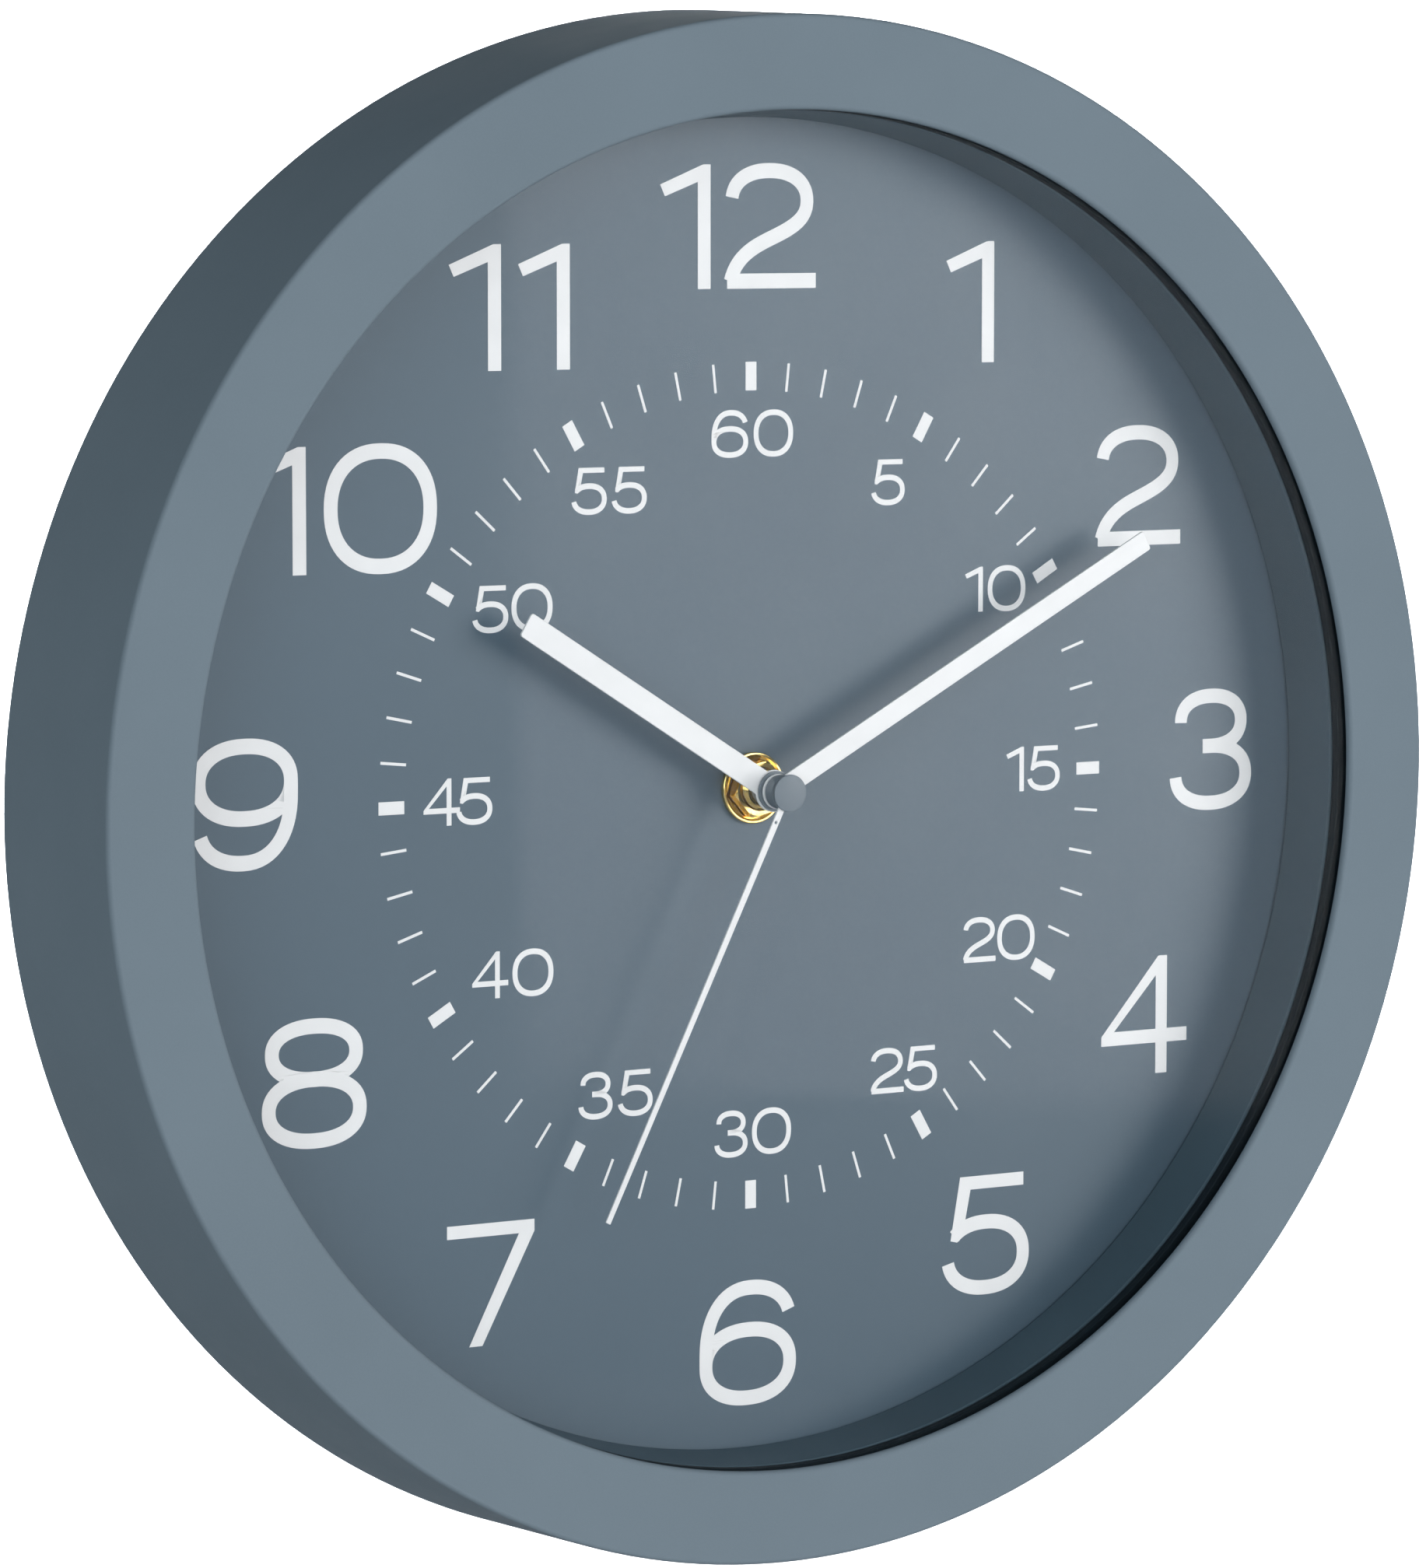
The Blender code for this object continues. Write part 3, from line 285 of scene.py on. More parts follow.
def outline_mesh(name, outlines, span, edge=0.0, edge_steps=2):
    """Fill an outline and its holes, thicken it and round its edges by the given radius."""
    curve = bpy.data.curves.new(name, "CURVE")
    curve.dimensions = "2D"
    curve.fill_mode = "BOTH"
    curve.extrude = ((span[1] - span[0]) / 2 - edge) * MM
    curve.bevel_depth = edge * MM
    curve.bevel_resolution = edge_steps
    curve.offset = -edge * MM
    for number, outline in enumerate(outlines):
        area = sum(a[0] * b[1] - b[0] * a[1] for a, b in zip(outline, outline[1:] + outline[:1]))
        anticlockwise = area > 0
        points = outline if anticlockwise == (number == 0) else outline[::-1]
        spline = curve.splines.new("POLY")
        spline.points.add(len(points) - 1)
        for point, (x, y) in zip(spline.points, points):
            point.co = (x * MM, y * MM, 0.0, 1.0)
        spline.use_cyclic_u = True
    mesh = from_curve(name, curve)
    stand_up = Matrix.Translation(place(0, 0, (span[0] + span[1]) / 2))
    mesh.transform(stand_up @ Matrix.Rotation(pi / 2, 4, "X"))
    return mesh_from(taken(mesh), name)


def plate(name, outlines, span, edge=0.1, sharp=SHARP_ANGLE):
    return new_object(name, outline_mesh(name, outlines, span, edge), sharp)


def block(name, x_span, y_span, span, edge=0.1, corner=0.3):
    return plate(name, [box_outline(x_span, y_span, corner)], span, edge)


def mirrored(side, near, far):
    """An x span on the right (side 1), or the same on the left (side -1)."""
    return sorted((side * near, side * far))


def discard(pieces):
    for piece in pieces:
        old = piece.data
        bpy.data.objects.remove(piece, do_unlink=True)
        bpy.data.meshes.remove(old)


def joined(name, pieces, sharp=SHARP_ANGLE):
    """Closed solids that overlap, kept in one mesh."""
    work = bmesh.new()
    for piece in pieces:
        work.from_mesh(piece.data)
    discard(pieces)
    return new_object(name, written(work, name), sharp)


def merged(name, pieces, operation="UNION"):
    """Boolean the pieces into one closed body."""
    target, *others = pieces
    for other in others:
        modifier = target.modifiers.new(other.name, "BOOLEAN")
        modifier.operation = operation
        modifier.solver = "EXACT"
        modifier.object = other
    work = taken(evaluated(target))
    discard(pieces)
    bmesh.ops.remove_doubles(work, verts=work.verts, dist=HAIRLINE_M)
    bmesh.ops.dissolve_degenerate(work, edges=work.edges, dist=HAIRLINE_M)
    return new_object(name, written(work, name))


# ---------------------------------------------------------------- materials

class Nodes:
    """A Principled material with short ways to add nodes to it."""

    def __init__(self, name, colour, roughness, metallic=0.0):
        self.material = bpy.data.materials.new(name)
        self.material.use_nodes = True
        self.tree = self.material.node_tree
        self.shader = self.tree.nodes["Principled BSDF"]
        self.colour = colour
        self.drive("Base Color", (*colour, 1.0))
        self.drive("Roughness", roughness)
        self.drive("Metallic", metallic)
        self.spot = self.add("ShaderNodeTexCoord").outputs["Object"]
        self.material.diffuse_color = (*colour, 1.0)

    def add(self, kind, **inputs):
        node = self.tree.nodes.new(kind)
        for key, value in inputs.items():
            self.feed(node.inputs[key.replace("_", " ")], value)
        return node

    def feed(self, socket, value):
        if isinstance(value, bpy.types.NodeSocket):
            self.tree.links.new(value, socket)
        else:
            socket.default_value = value

    def drive(self, key, value):
        """Set or link an input of the shader itself."""
        self.feed(self.shader.inputs[key], value)

    def stretched(self, scale):
        mapping = self.add("ShaderNodeMapping", Vector=self.spot, Scale=scale)
        return mapping.outputs["Vector"]

    def noise(self, scale, detail=3.0, where=None, roughness=0.5):
        node = self.add("ShaderNodeTexNoise", Vector=where or self.spot, Scale=scale,
                        Detail=detail, Roughness=roughness)
        return node.outputs["Fac"]

    def ramp(self, value, low, high, to_low, to_high):
        node = self.add("ShaderNodeMapRange", Value=value)
        for key, number in (("From Min", low), ("From Max", high), ("To Min", to_low),
                            ("To Max", to_high)):
            node.inputs[key].default_value = number
        return node.outputs["Result"]

    def mix(self, factor, first, second):
        node = self.tree.nodes.new("ShaderNodeMix")
        node.data_type = "RGBA"
        self.feed(node.inputs[6], first)
        self.feed(node.inputs[7], second)
        self.feed(node.inputs[0], factor)
        return node.outputs[2]

    def product(self, first, second):
        node = self.add("ShaderNodeMath")
        node.operation = "MULTIPLY"
        self.feed(node.inputs[0], first)
        self.feed(node.inputs[1], second)
        return node.outputs["Value"]

    def shade(self, factor):
        """The base colour, lighter or darker by a factor."""
        return (*(min(1.0, channel * factor) for channel in self.colour), 1.0)

    def vary_colour(self, scale, spread, detail=4.0):
        value = self.ramp(self.noise(scale, detail), 0.3, 0.7, 0.0, 1.0)
        return self.mix(value, self.shade(1 - spread), self.shade(1 + spread))

    def vary_roughness(self, scale, low, high, detail=4.0):
        value = self.ramp(self.noise(scale, detail), 0.3, 0.7, low, high)
        self.drive("Roughness", value)

    def edge_wear_highlight_mask(self):
        """Near 1 on sharp outer edges and 0 on open faces. The edges it marks are drawn lighter,
        partly as rub wear and partly as a painted edge highlight.
        """
        point = self.add("ShaderNodeNewGeometry").outputs["Pointiness"]
        return self.ramp(point, 0.53, 0.62, 0.0, 1.0)

    def soft_normal(self, radius):
        """Shading that rounds the sharp edges of a carried-over CAD piece."""
        if not radius:
            return None
        return self.add("ShaderNodeBevel", Radius=radius * MM).outputs["Normal"]

    def bump(self, height, strength, depth, normal=None):
        node = self.add("ShaderNodeBump", Height=height, Strength=strength, Distance=depth * MM)
        if normal:
            self.feed(node.inputs["Normal"], normal)
        return node.outputs["Normal"]

    def finish(self, colour, normal):
        self.drive("Base Color", colour)
        if normal:
            self.drive("Normal", normal)
        return self.material


def moulded(name, colour, roughness, spread=0.05, grain=1500, depth=0.02, soft_edge=0.0,
            shine=0.5, rub_wear_and_highlight=True):
    """Moulded plastic: spark-eroded grain, faint flow marks, and outer edges drawn lighter, partly
    as rub wear and partly as a painted edge highlight.
    """
    nodes = Nodes(name, colour, roughness)
    nodes.drive("Specular IOR Level", shine)
    body = nodes.vary_colour(22, spread)
    speck = nodes.ramp(nodes.noise(grain * 1.6, 2.0), 0.35, 0.75, 0.0, 0.22)
    body = nodes.mix(speck, body, nodes.shade(1 + 4 * spread))
    # Outer edges lightened in patches: partly rub wear, partly a painted edge highlight.
    if rub_wear_and_highlight:
        rub_and_highlight = nodes.ramp(nodes.noise(90, 5.0), 0.4, 0.65, 0.0, 0.5)
        body = nodes.mix(nodes.product(nodes.edge_wear_highlight_mask(), rub_and_highlight), body,
                         nodes.shade(1 + 5 * spread))
    nodes.vary_roughness(60, roughness - 0.06, roughness + 0.06)
    normal = nodes.bump(nodes.noise(grain, 2.0), 0.35, depth, nodes.soft_normal(soft_edge))
    return nodes.finish(body, normal)


def enamel(name, colour, roughness):
    """Sprayed lacquer or screen ink: a slight orange peel and a soft sheen."""
    nodes = Nodes(name, colour, roughness)
    body = nodes.vary_colour(140, 0.025)
    nodes.vary_roughness(400, roughness - 0.05, roughness + 0.08)
    normal = nodes.bump(nodes.noise(2200, 2.0), 0.25, 0.01)
    return nodes.finish(body, normal)


def metal(name, colour, roughness, along=(1, 1, 1), scale=900, spread=0.08, depth=0.008,
          soft_edge=0.0):
    """Metal with its tool marks drawn out along one direction, and small stains."""
    nodes = Nodes(name, colour, roughness, 1.0)
    marks = nodes.noise(scale, 4.0, nodes.stretched(along))
    stains = nodes.noise(120, 5.0)
    body = nodes.mix(nodes.ramp(marks, 0.3, 0.7, 0.0, 1.0), nodes.shade(1 - spread),
                     nodes.shade(1 + spread))
    body = nodes.mix(nodes.ramp(stains, 0.55, 0.8, 0.0, 0.35), body, nodes.shade(0.7))
    nodes.drive("Roughness", nodes.ramp(marks, 0.3, 0.7, roughness - 0.04, roughness + 0.08))
    return nodes.finish(body, nodes.bump(marks, 0.3, depth, nodes.soft_normal(soft_edge)))


def rubber(name, colour):
    nodes = Nodes(name, colour, 0.55)
    nodes.drive("Specular IOR Level", 0.15)
    body = nodes.mix(nodes.ramp(nodes.noise(300, 3.0), 0.45, 0.8, 0.0, 0.4), nodes.shade(1.0),
                     nodes.shade(1.8))
    nodes.vary_roughness(200, 0.5, 0.65)
    return nodes.finish(body, nodes.bump(nodes.noise(1500, 2.0), 0.2, 0.01))


def clear_glass(name):
    """Thin flat glass: nearly all of the light goes straight through."""
    nodes = Nodes(name, (0.030, 0.036, 0.040), 0.04)
    wipe = nodes.noise(18, 1.0)
    nodes.drive("Roughness", nodes.ramp(wipe, 0.4, 0.7, 0.03, 0.09))
    nodes.drive("IOR", 1.5)
    nodes.drive("Alpha", 0.06)
    return nodes.finish(nodes.mix(wipe, nodes.shade(0.8), nodes.shade(1.2)), None)


def dial_paint():
    """Matte printed sheet with a barely visible weave of the screen."""
    nodes = Nodes("dial_paint", (0.076, 0.123, 0.166), 0.38)
    body = nodes.vary_colour(9, 0.03)
    body = nodes.mix(nodes.ramp(nodes.noise(2600, 2.0), 0.4, 0.7, 0.0, 0.25), body,
                     nodes.shade(1.1))
    nodes.vary_roughness(35, 0.36, 0.40)
    return nodes.finish(body, nodes.bump(nodes.noise(3000, 2.0), 0.2, 0.008))


def battery_wrap():
    """Printed plastic sleeve: a plain field with one pale band near the plus end."""
    nodes = Nodes("battery_wrap", (0.030, 0.115, 0.150), 0.28)
    along = nodes.add("ShaderNodeSeparateXYZ", Vector=nodes.spot).outputs["X"]
    band = nodes.ramp(along, 13.0 * MM, 13.2 * MM, 0.0, 1.0)
    ends = nodes.ramp(along, 15.0 * MM, 15.2 * MM, 1.0, 0.0)
    body = nodes.mix(nodes.product(band, ends), nodes.vary_colour(60, 0.015),
                     (0.55, 0.57, 0.58, 1.0))
    nodes.vary_roughness(200, 0.22, 0.36)
    return nodes.finish(body, nodes.bump(nodes.noise(400, 3.0), 0.15, 0.02))


def solder_board():
    """Green laminate with copper tracks showing through the lacquer."""
    nodes = Nodes("solder_board", (0.012, 0.105, 0.045), 0.32)
    cells = nodes.add("ShaderNodeTexVoronoi", Vector=nodes.spot, Scale=260.0)
    cells.distance = "CHEBYCHEV"
    tracks = nodes.ramp(cells.outputs["Distance"], 0.30, 0.36, 0.0, 0.8)
    body = nodes.mix(tracks, nodes.vary_colour(90, 0.08), (0.05, 0.22, 0.08, 1.0))
    return nodes.finish(body, nodes.bump(tracks, 0.3, 0.03))


MATERIALS = {
    "case_plastic": moulded("case_plastic", (0.152, 0.193, 0.226), 0.7, 0.03, 1500, 0.02,
                            shine=0.1),
    "ring_plastic": moulded("surround_plastic", (0.072, 0.118, 0.152), 0.6, 0.04, 1800, 0.015,
                            shine=0.2),
    "back_plastic": moulded("back_plastic", (0.105, 0.135, 0.160), 0.55, 0.05, 1100, 0.03,
                            rub_wear_and_highlight=False),
    "black_plastic": moulded("movement_plastic", (0.020, 0.021, 0.023), 0.42, 0.10, 1300, 0.02),
    "train_plastic": moulded("acetal_plastic", (0.72, 0.71, 0.66), 0.38, 0.03, 2000, 0.008, 0.08),
    "hub_plastic": moulded("hub_plastic", (0.150, 0.190, 0.226), 0.42, 0.04, 2200, 0.01),
    # Near-black navy: the seal's own black, darkened further as painted shade for the gap under
    # the lip.
    "gasket_rubber": rubber("gasket_rubber", (0.002, 0.008, 0.013)),
    "washer_rubber": rubber("washer_rubber", (0.012, 0.012, 0.013)),
    "dial_sheet": dial_paint(),
    "white_hands": enamel("hand_lacquer", (0.93, 0.93, 0.935), 0.34),
    "print": enamel("dial_ink", (0.94, 0.94, 0.945), 0.42),
    "zinc_steel": metal("zinc_plate", (0.46, 0.47, 0.485), 0.42, (1, 1, 6), 500),
    "brass": metal("polished_brass", (0.86, 0.62, 0.22), 0.16, (1, 8, 1), 700, 0.05, 0.003),
    "copper": metal("wound_copper", (0.66, 0.27, 0.10), 0.30, (40, 1, 1), 150, 0.25, 0.05, 0.1),
    "steel": metal("motor_steel", (0.50, 0.50, 0.52), 0.34, (1, 1, 5), 400, soft_edge=0.1),
    "magnet": metal("magnet_ferrite", (0.09, 0.09, 0.10), 0.45, (1, 1, 1), 800, 0.15,
                    soft_edge=0.1),
    "clear_lens": clear_glass("lens_glass"),
    "battery_jacket": battery_wrap(),
    "board": solder_board(),
}


# ---------------------------------------------------------------- case, lens and dial

def show(piece, slot, *nodes, body="case", paint=None):
    """Give a piece its body and finish slot, and let it stand for the CAD nodes named."""
    piece.data.materials.clear()
    piece.data.materials.append(MATERIALS[paint or slot])
    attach(piece, body)
    if nodes:
        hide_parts(*nodes)


def case_wall_r(out):
    return CASE_R - CASE_WALL - CASE_TAPER * out / CASE_DEPTH


def make_case():
    front_r = CASE_R - CASE_TAPER
    lip_rear = LENS_FRONT + 0.3
    under = CASE_DEPTH - CASE_WALL
    outer = SKIRT_R + SKIRT_WALL
    edge_r, inner_edge_r = 0.9, 1.1
    boss_r, pilot_r, pilot_depth = 3.6, 1.7, 4.0
    edge = [(front_r - edge_r * (1 - sin(radians(a))), CASE_DEPTH - edge_r * (1 - cos(radians(a))))
            for a in range(0, 91, 15)]
    lip = [(LIP_R + inner_edge_r * (1 - cos(radians(a))),
            CASE_DEPTH - inner_edge_r * (1 - sin(radians(a)))) for a in range(0, 91, 10)]
    rear = [(CASE_R - 0.04, 0.9), (CASE_R - 0.5, 0.15), (CASE_R - 1.0, 0.0),
            (CASE_R - CASE_WALL + 0.4, 0.0), (CASE_R - CASE_WALL, 0.5)]
    inside = [(case_wall_r(under - 1.0), under - 1.0), (case_wall_r(under) - 1.0, under),
              (outer + 0.8, under), (outer, under - 0.8), (outer, SKIRT_REAR + 0.3),
              (outer - 0.3, SKIRT_REAR), (SKIRT_R + 0.3, SKIRT_REAR), (SKIRT_R, SKIRT_REAR + 0.3),
              (SKIRT_R, lip_rear), (LIP_R, lip_rear)]
    work = bmesh.new()
    add_lathe(work, edge + rear + inside + lip)
    for x, y in SCREW_PLACES:
        add_lathe(work, rounded([(boss_r, under - 0.05), (boss_r, SKIRT_REAR),
                                 (pilot_r, SKIRT_REAR), (pilot_r, under - pilot_depth),
                                 (0.0, under - pilot_depth), (0.0, under - 0.05)],
                                0.2, 2), x, y, 40)
    case = new_object("case_shell", mesh_from(work, "case_shell"))
    show(case, "case_plastic", "case_ring")


def make_lens_stack():
    profile = rounded([(0.0, LENS_FRONT), (radius_of("lens"), LENS_FRONT),
                       (radius_of("lens"), LENS_REAR), (0.0, LENS_REAR)], 0.3, 3, closed=False)
    lens = lathe("lens_disc", profile)
    show(lens, "clear_lens", "lens")
    rear, front = out_span("lens_gasket")
    seat = LENS_REAR - 0.3
    step_r = radius_of("lens") + 0.3
    outer = SKIRT_R - 0.3
    band = [(step_r, front), (outer, front), (outer, rear), (LIP_R + 0.25, rear),
            (LIP_R, rear + 0.3), (LIP_R - 0.08, rear + 0.8), (LIP_R + 0.02, rear + 1.1),
            (LIP_R - 0.08, rear + 1.4), (LIP_R, seat - 0.2), (LIP_R + 0.2, seat),
            (step_r, seat)]
    # Seal under the lip. Its near-black colour is partly painted shade for the gap there.
    gasket = lathe("gasket_band", band)
    show(gasket, "gasket_rubber", "lens_gasket")
    rear, front = out_span("inner_ring")
    web = 1.7
    cone = [(LIP_R + 0.4, front), (outer, front), (outer, front - 1.4), (LIP_R + web, front - 1.4),
            (RING_DIAL_R + web, rear), (RING_DIAL_R + 0.3, rear), (RING_DIAL_R, rear + 0.3),
            (LIP_R - 0.05, front - 0.4)]
    show(lathe("dial_surround", cone), "ring_plastic", "inner_ring")


def make_dial():
    rear, front = out_span("dial")
    hole_r = 4.3
    profile = rounded([(hole_r, front), (radius_of("dial"), front), (radius_of("dial"), rear),
                       (hole_r, rear)], 0.1, 2)
    show(lathe("dial_face", profile), "dial_sheet", "dial")


def make_ticks():
    """Sixty minute marks, each fifth one bold."""
    work = bmesh.new()
    for minute in range(60):
        width = FINE_TICK if minute % 5 else BOLD_TICK
        turn = Matrix.Rotation(-TURN * minute / 60, 2)
        corners = [(-width / 2, TICK_R - TICK_LENGTH / 2), (width / 2, TICK_R - TICK_LENGTH / 2),
                   (width / 2, TICK_R + TICK_LENGTH / 2), (-width / 2, TICK_R + TICK_LENGTH / 2)]
        add_prism(work, [([turn @ Vector((x * shrink, y)) for x, y in corners], out)
                         for out, shrink in ((PRINT_FOOT, 1.0), (DIAL_FRONT + PRINT_THICK, 0.97))])
    ticks = new_object("minute_ticks", mesh_from(work, "minute_ticks"))
    show(ticks, "white_hands", paint="print")


# ---------------------------------------------------------------- numerals

# A digit is drawn in hundredths of its height, with y = 0 at its foot. Straight figures are
# outlines; round ones are strokes along a path, or closed rings.
STROKE = 12.2
LARGE_SCALE = 0.2375
SMALL_SCALE = 0.0888


def bow(centre, radii, start, end, square=2.25):
    """Points on a slightly squared ellipse, between two angles in degrees."""
    steps = max(6, int(abs(end - start) / 6))
    points = []
    for i in range(steps + 1):
        angle = radians(start + (end - start) * i / steps)
        points.append(tuple(c + r * copysign(abs(part) ** (2 / square), part) for c, r, part
                            in zip(centre, radii, (cos(angle), sin(angle)))))
    return points


def sweep(a, b, c, d, steps=10):
    """Points on a Bezier curve after its first."""
    points = []
    for i in range(1, steps + 1):
        t = i / steps
        weights = ((1 - t) ** 3, 3 * t * (1 - t) ** 2, 3 * t * t * (1 - t), t ** 3)
        points.append(tuple(sum(w * p[axis] for w, p in zip(weights, (a, b, c, d)))
                            for axis in (0, 1)))
    return points


def stroke(path, width=STROKE):
    """Outline of a stroke of even width with square ends."""
    left, right = [], []
    for i, point in enumerate(path):
        before, after = path[max(i - 1, 0)], path[min(i + 1, len(path) - 1)]
        along = (Vector(after) - Vector(before)).normalized()
        side = Vector((-along.y, along.x)) * width / 2
        left.append(tuple(Vector(point) + side))
        right.append(tuple(Vector(point) - side))
    return left + right[::-1]


def ring(centre, radii):
    """Outline and hole of a closed round stroke."""
    half = STROKE / 2
    return [bow(centre, (radii[0] + half, radii[1] + half), 0, 354),
            bow(centre, (radii[0] - half, radii[1] - half), 0, 354)]


def digit_parts(digit):
    """The outlines, each with its holes, whose union is the digit."""
    if digit == "0":
        return [ring((0, 50), (44.6, 45.3))]
    if digit == "1":
        return [[[(-41.5, 84), (-1, 100), (6, 100), (6, 0), (-6, 0), (-6, 86), (-37, 74.5)]]]
    if digit == "2":
        neck = (bow((-0.5, 70), (36, 25), 174, 0)
                + sweep((35.5, 70), (35.5, 53), (15, 46.5), (-5, 38))
                + sweep((-5, 38), (-25, 29.5), (-34, 20), (-38, 6)))
        return [[stroke(neck)], [stroke([(-41, 6), (44, 6)])]]
    if digit == "3":
        return [[stroke(bow((0, 74.6), (31.4, 21.35), 181, -90))],
                [stroke([(-8.4, 53.25)] + bow((0, 28.9), (36.6, 24.35), 90, -178))]]
    if digit == "4":
        rim = [(-3.2, 100.5), (5.8, 100.5), (5.8, 38), (26.5, 38), (26.5, 26.3), (5.8, 26.3),
               (5.8, 0), (-5.8, 0), (-5.8, 26.3), (-62, 26.3), (-62, 34.2)]
        return [[rim, [(-5.8, 84), (-5.8, 38), (-49, 38)]]]
    if digit == "5":
        flag = [(-26, 99.5), (38, 99.5), (38, 88.4), (-15.5, 88.4), (-22, 57), (-28.7, 44.7),
                (-35.5, 46.3)]
        return [[flag], [stroke(bow((-0.3, 32.4), (38.1, 27.8), 144, -171))]]
    if digit == "6":
        back = (bow((2, 66), (38.3, 30), 14, 90) + bow((2, 42), (42.6, 54), 90, 180)[1:]
                + [(-40.6, 33)])
        return [ring((0, 32.9), (40.6, 28.3)), [stroke(back)]]
    if digit == "7":
        return [[[(-40.3, 99), (40.3, 99), (40.3, 89.5), (-8.2, 0), (-20.3, 0), (26, 88.4),
                  (-40.3, 88.4)]]]
    if digit == "8":
        return [ring((0, 74.4), (37.6, 21.1)), ring((0, 29), (40.7, 24.5))]
    upside_down = Matrix(((-1, 0), (0, -1)))
    return [[[tuple(upside_down @ Vector(point) + Vector((0, 100))) for point in outline]
             for outline in part] for part in digit_parts("6")]


def digit_mesh(digit):
    """One closed body of the digit, a unit of a millimetre for each hundredth."""
    pieces = []
    for number, part in enumerate(digit_parts(digit)):
        step = 0.004 * number        # keeps overlapping strokes from sharing a face
        pieces.append(plate(f"digit_{digit}_{number}", part, (-step, 1.0 + step), edge=0.0))
    whole = pieces[0]
    if len(pieces) > 1:
        whole = merged(f"digit_{digit}", pieces)
    mesh = whole.data
    bpy.data.objects.remove(whole, do_unlink=True)
    return mesh


# What is printed: the number, its foot's y, and the x of each digit's middle (stem for 1 and 4)
HOURS = (
    ("12", 96.3, -10.6, 4.3), ("1", 81.3, 55.0), ("2", 44.2, 91.4), ("3", -9.6, 109.8),
    ("4", -62.7, 97.9), ("5", -103.8, 55.3), ("6", -120.6, -0.6), ("7", -103.7, -58.3),
    ("8", -62.6, -96.2), ("9", -9.6, -110.4), ("10", 44.3, -98.7, -81.5),
    ("11", 81.4, -56.9, -41.9))
MINUTES = (
    ("60", 64.0, -4.8, 5.1), ("5", 53.9, 31.6), ("10", 32.2, 53.5, 59.7),
    ("15", -3.9, 63.5, 68.8), ("20", -37.4, 53.5, 62.3), ("25", -62.0, 31.7, 39.6),
    ("30", -71.8, -4.5, 4.8), ("35", -62.0, -35.1, -26.2), ("40", -37.3, -56.7, -48.9),
    ("45", -3.9, -67.1, -61.6), ("50", 32.2, -58.0, -48.9), ("55", 53.9, -36.3, -27.4))


def print_numbers(name, numbers, scale, meshes):
    work = bmesh.new()
    for number, y, *places in numbers:
        for digit, x in zip(number, places):
            before = len(work.verts)
            work.from_mesh(meshes[digit])
            work.verts.ensure_lookup_table()
            for vert in work.verts[before:]:
                face_x, out, face_y = vert.co.x / MM, -vert.co.y / MM, (vert.co.z - AXIS_Z) / MM
                height = PRINT_FOOT + out * (DIAL_FRONT + PRINT_THICK - PRINT_FOOT)
                vert.co = place(x + face_x * scale, y + face_y * scale, height)
    show(new_object(name, written(work, name)), "white_hands", paint="print")


def make_numerals():
    meshes = {digit: digit_mesh(digit) for digit in "0123456789"}
    print_numbers("hour_numerals", HOURS, LARGE_SCALE, meshes)
    print_numbers("minute_numerals", MINUTES, SMALL_SCALE, meshes)


# ---------------------------------------------------------------- hands and hub

def hand_outline(hand):
    """A round eye at the axis and a blade turned to the hand's place."""
    half, tip_half = hand["width"] / 2, hand["tip"] / 2
    meet = 180 / pi * atan2(half, sqrt(hand["eye_r"] ** 2 - half ** 2))
    corner = 0.12 * hand["tip"]
    end = hand["length"]
    points = arc((0.0, 0.0), hand["eye_r"], 90 + meet, 450 - meet, 48)
    points += arc((tip_half - corner, end - corner), corner, 0, 90, 4)
    points += arc((corner - tip_half, end - corner), corner, 90, 180, 4)
    return turned_outline(points, -radians(hand["angle"]))


def make_hand(name, body, hole_r, edge, extra_holes=()):
    node = f"{name}_hand"
    outlines = [hand_outline(HANDS[name]), circle(hole_r, 40), *extra_holes]
    blade = plate(f"{name}_blade", outlines, out_span(node), edge, sharp=50)
    show(blade, "white_hands", node, body=body)


def make_hands():
    make_hand("hour", "hours", 3.45, 0.14)
    make_hand("minute", "minutes", 1.8, 0.14)
    small_hole = turned_outline(circle(0.32, 12, (0.0, 6.2)), -radians(HANDS["second"]["angle"]))
    make_hand("second", "seconds", 0.8, 0.1, [small_hole])
    rear, front = out_span("hour_hand_hub")
    flange_rear = front - 0.4
    collar = rounded([(2.85, front), (3.9, front), (3.9, flange_rear), (3.15, flange_rear),
                      (3.15, rear), (2.85, rear)], 0.12, 3)
    show(lathe("hour_collar", collar, sides=96), "hub_plastic", "hour_hand_hub", body="hours")
    rear, front = out_span("second_hand_hub")
    barrel_r = radius_of("second_hand_hub")
    barrel = rounded([(0.8, front), (barrel_r, front), (barrel_r, rear), (0.8, rear)], 0.25, 4)
    show(lathe("second_barrel", barrel, sides=96), "hub_plastic", "second_hand_hub",
         body="seconds")
    rear, front = out_span("second_hand_cap")
    cap_r = radius_of("second_hand_cap")
    dome = [(cap_r * sin(radians(a)), front - 0.25 * (1 - cos(radians(a))))
            for a in range(0, 90, 6)]
    cap = dome + [(cap_r, front - 0.32), (cap_r, rear + 0.1), (cap_r - 0.1, rear), (0.0, rear)]
    show(lathe("second_cap", cap, sides=96), "hub_plastic", "second_hand_cap", body="seconds")


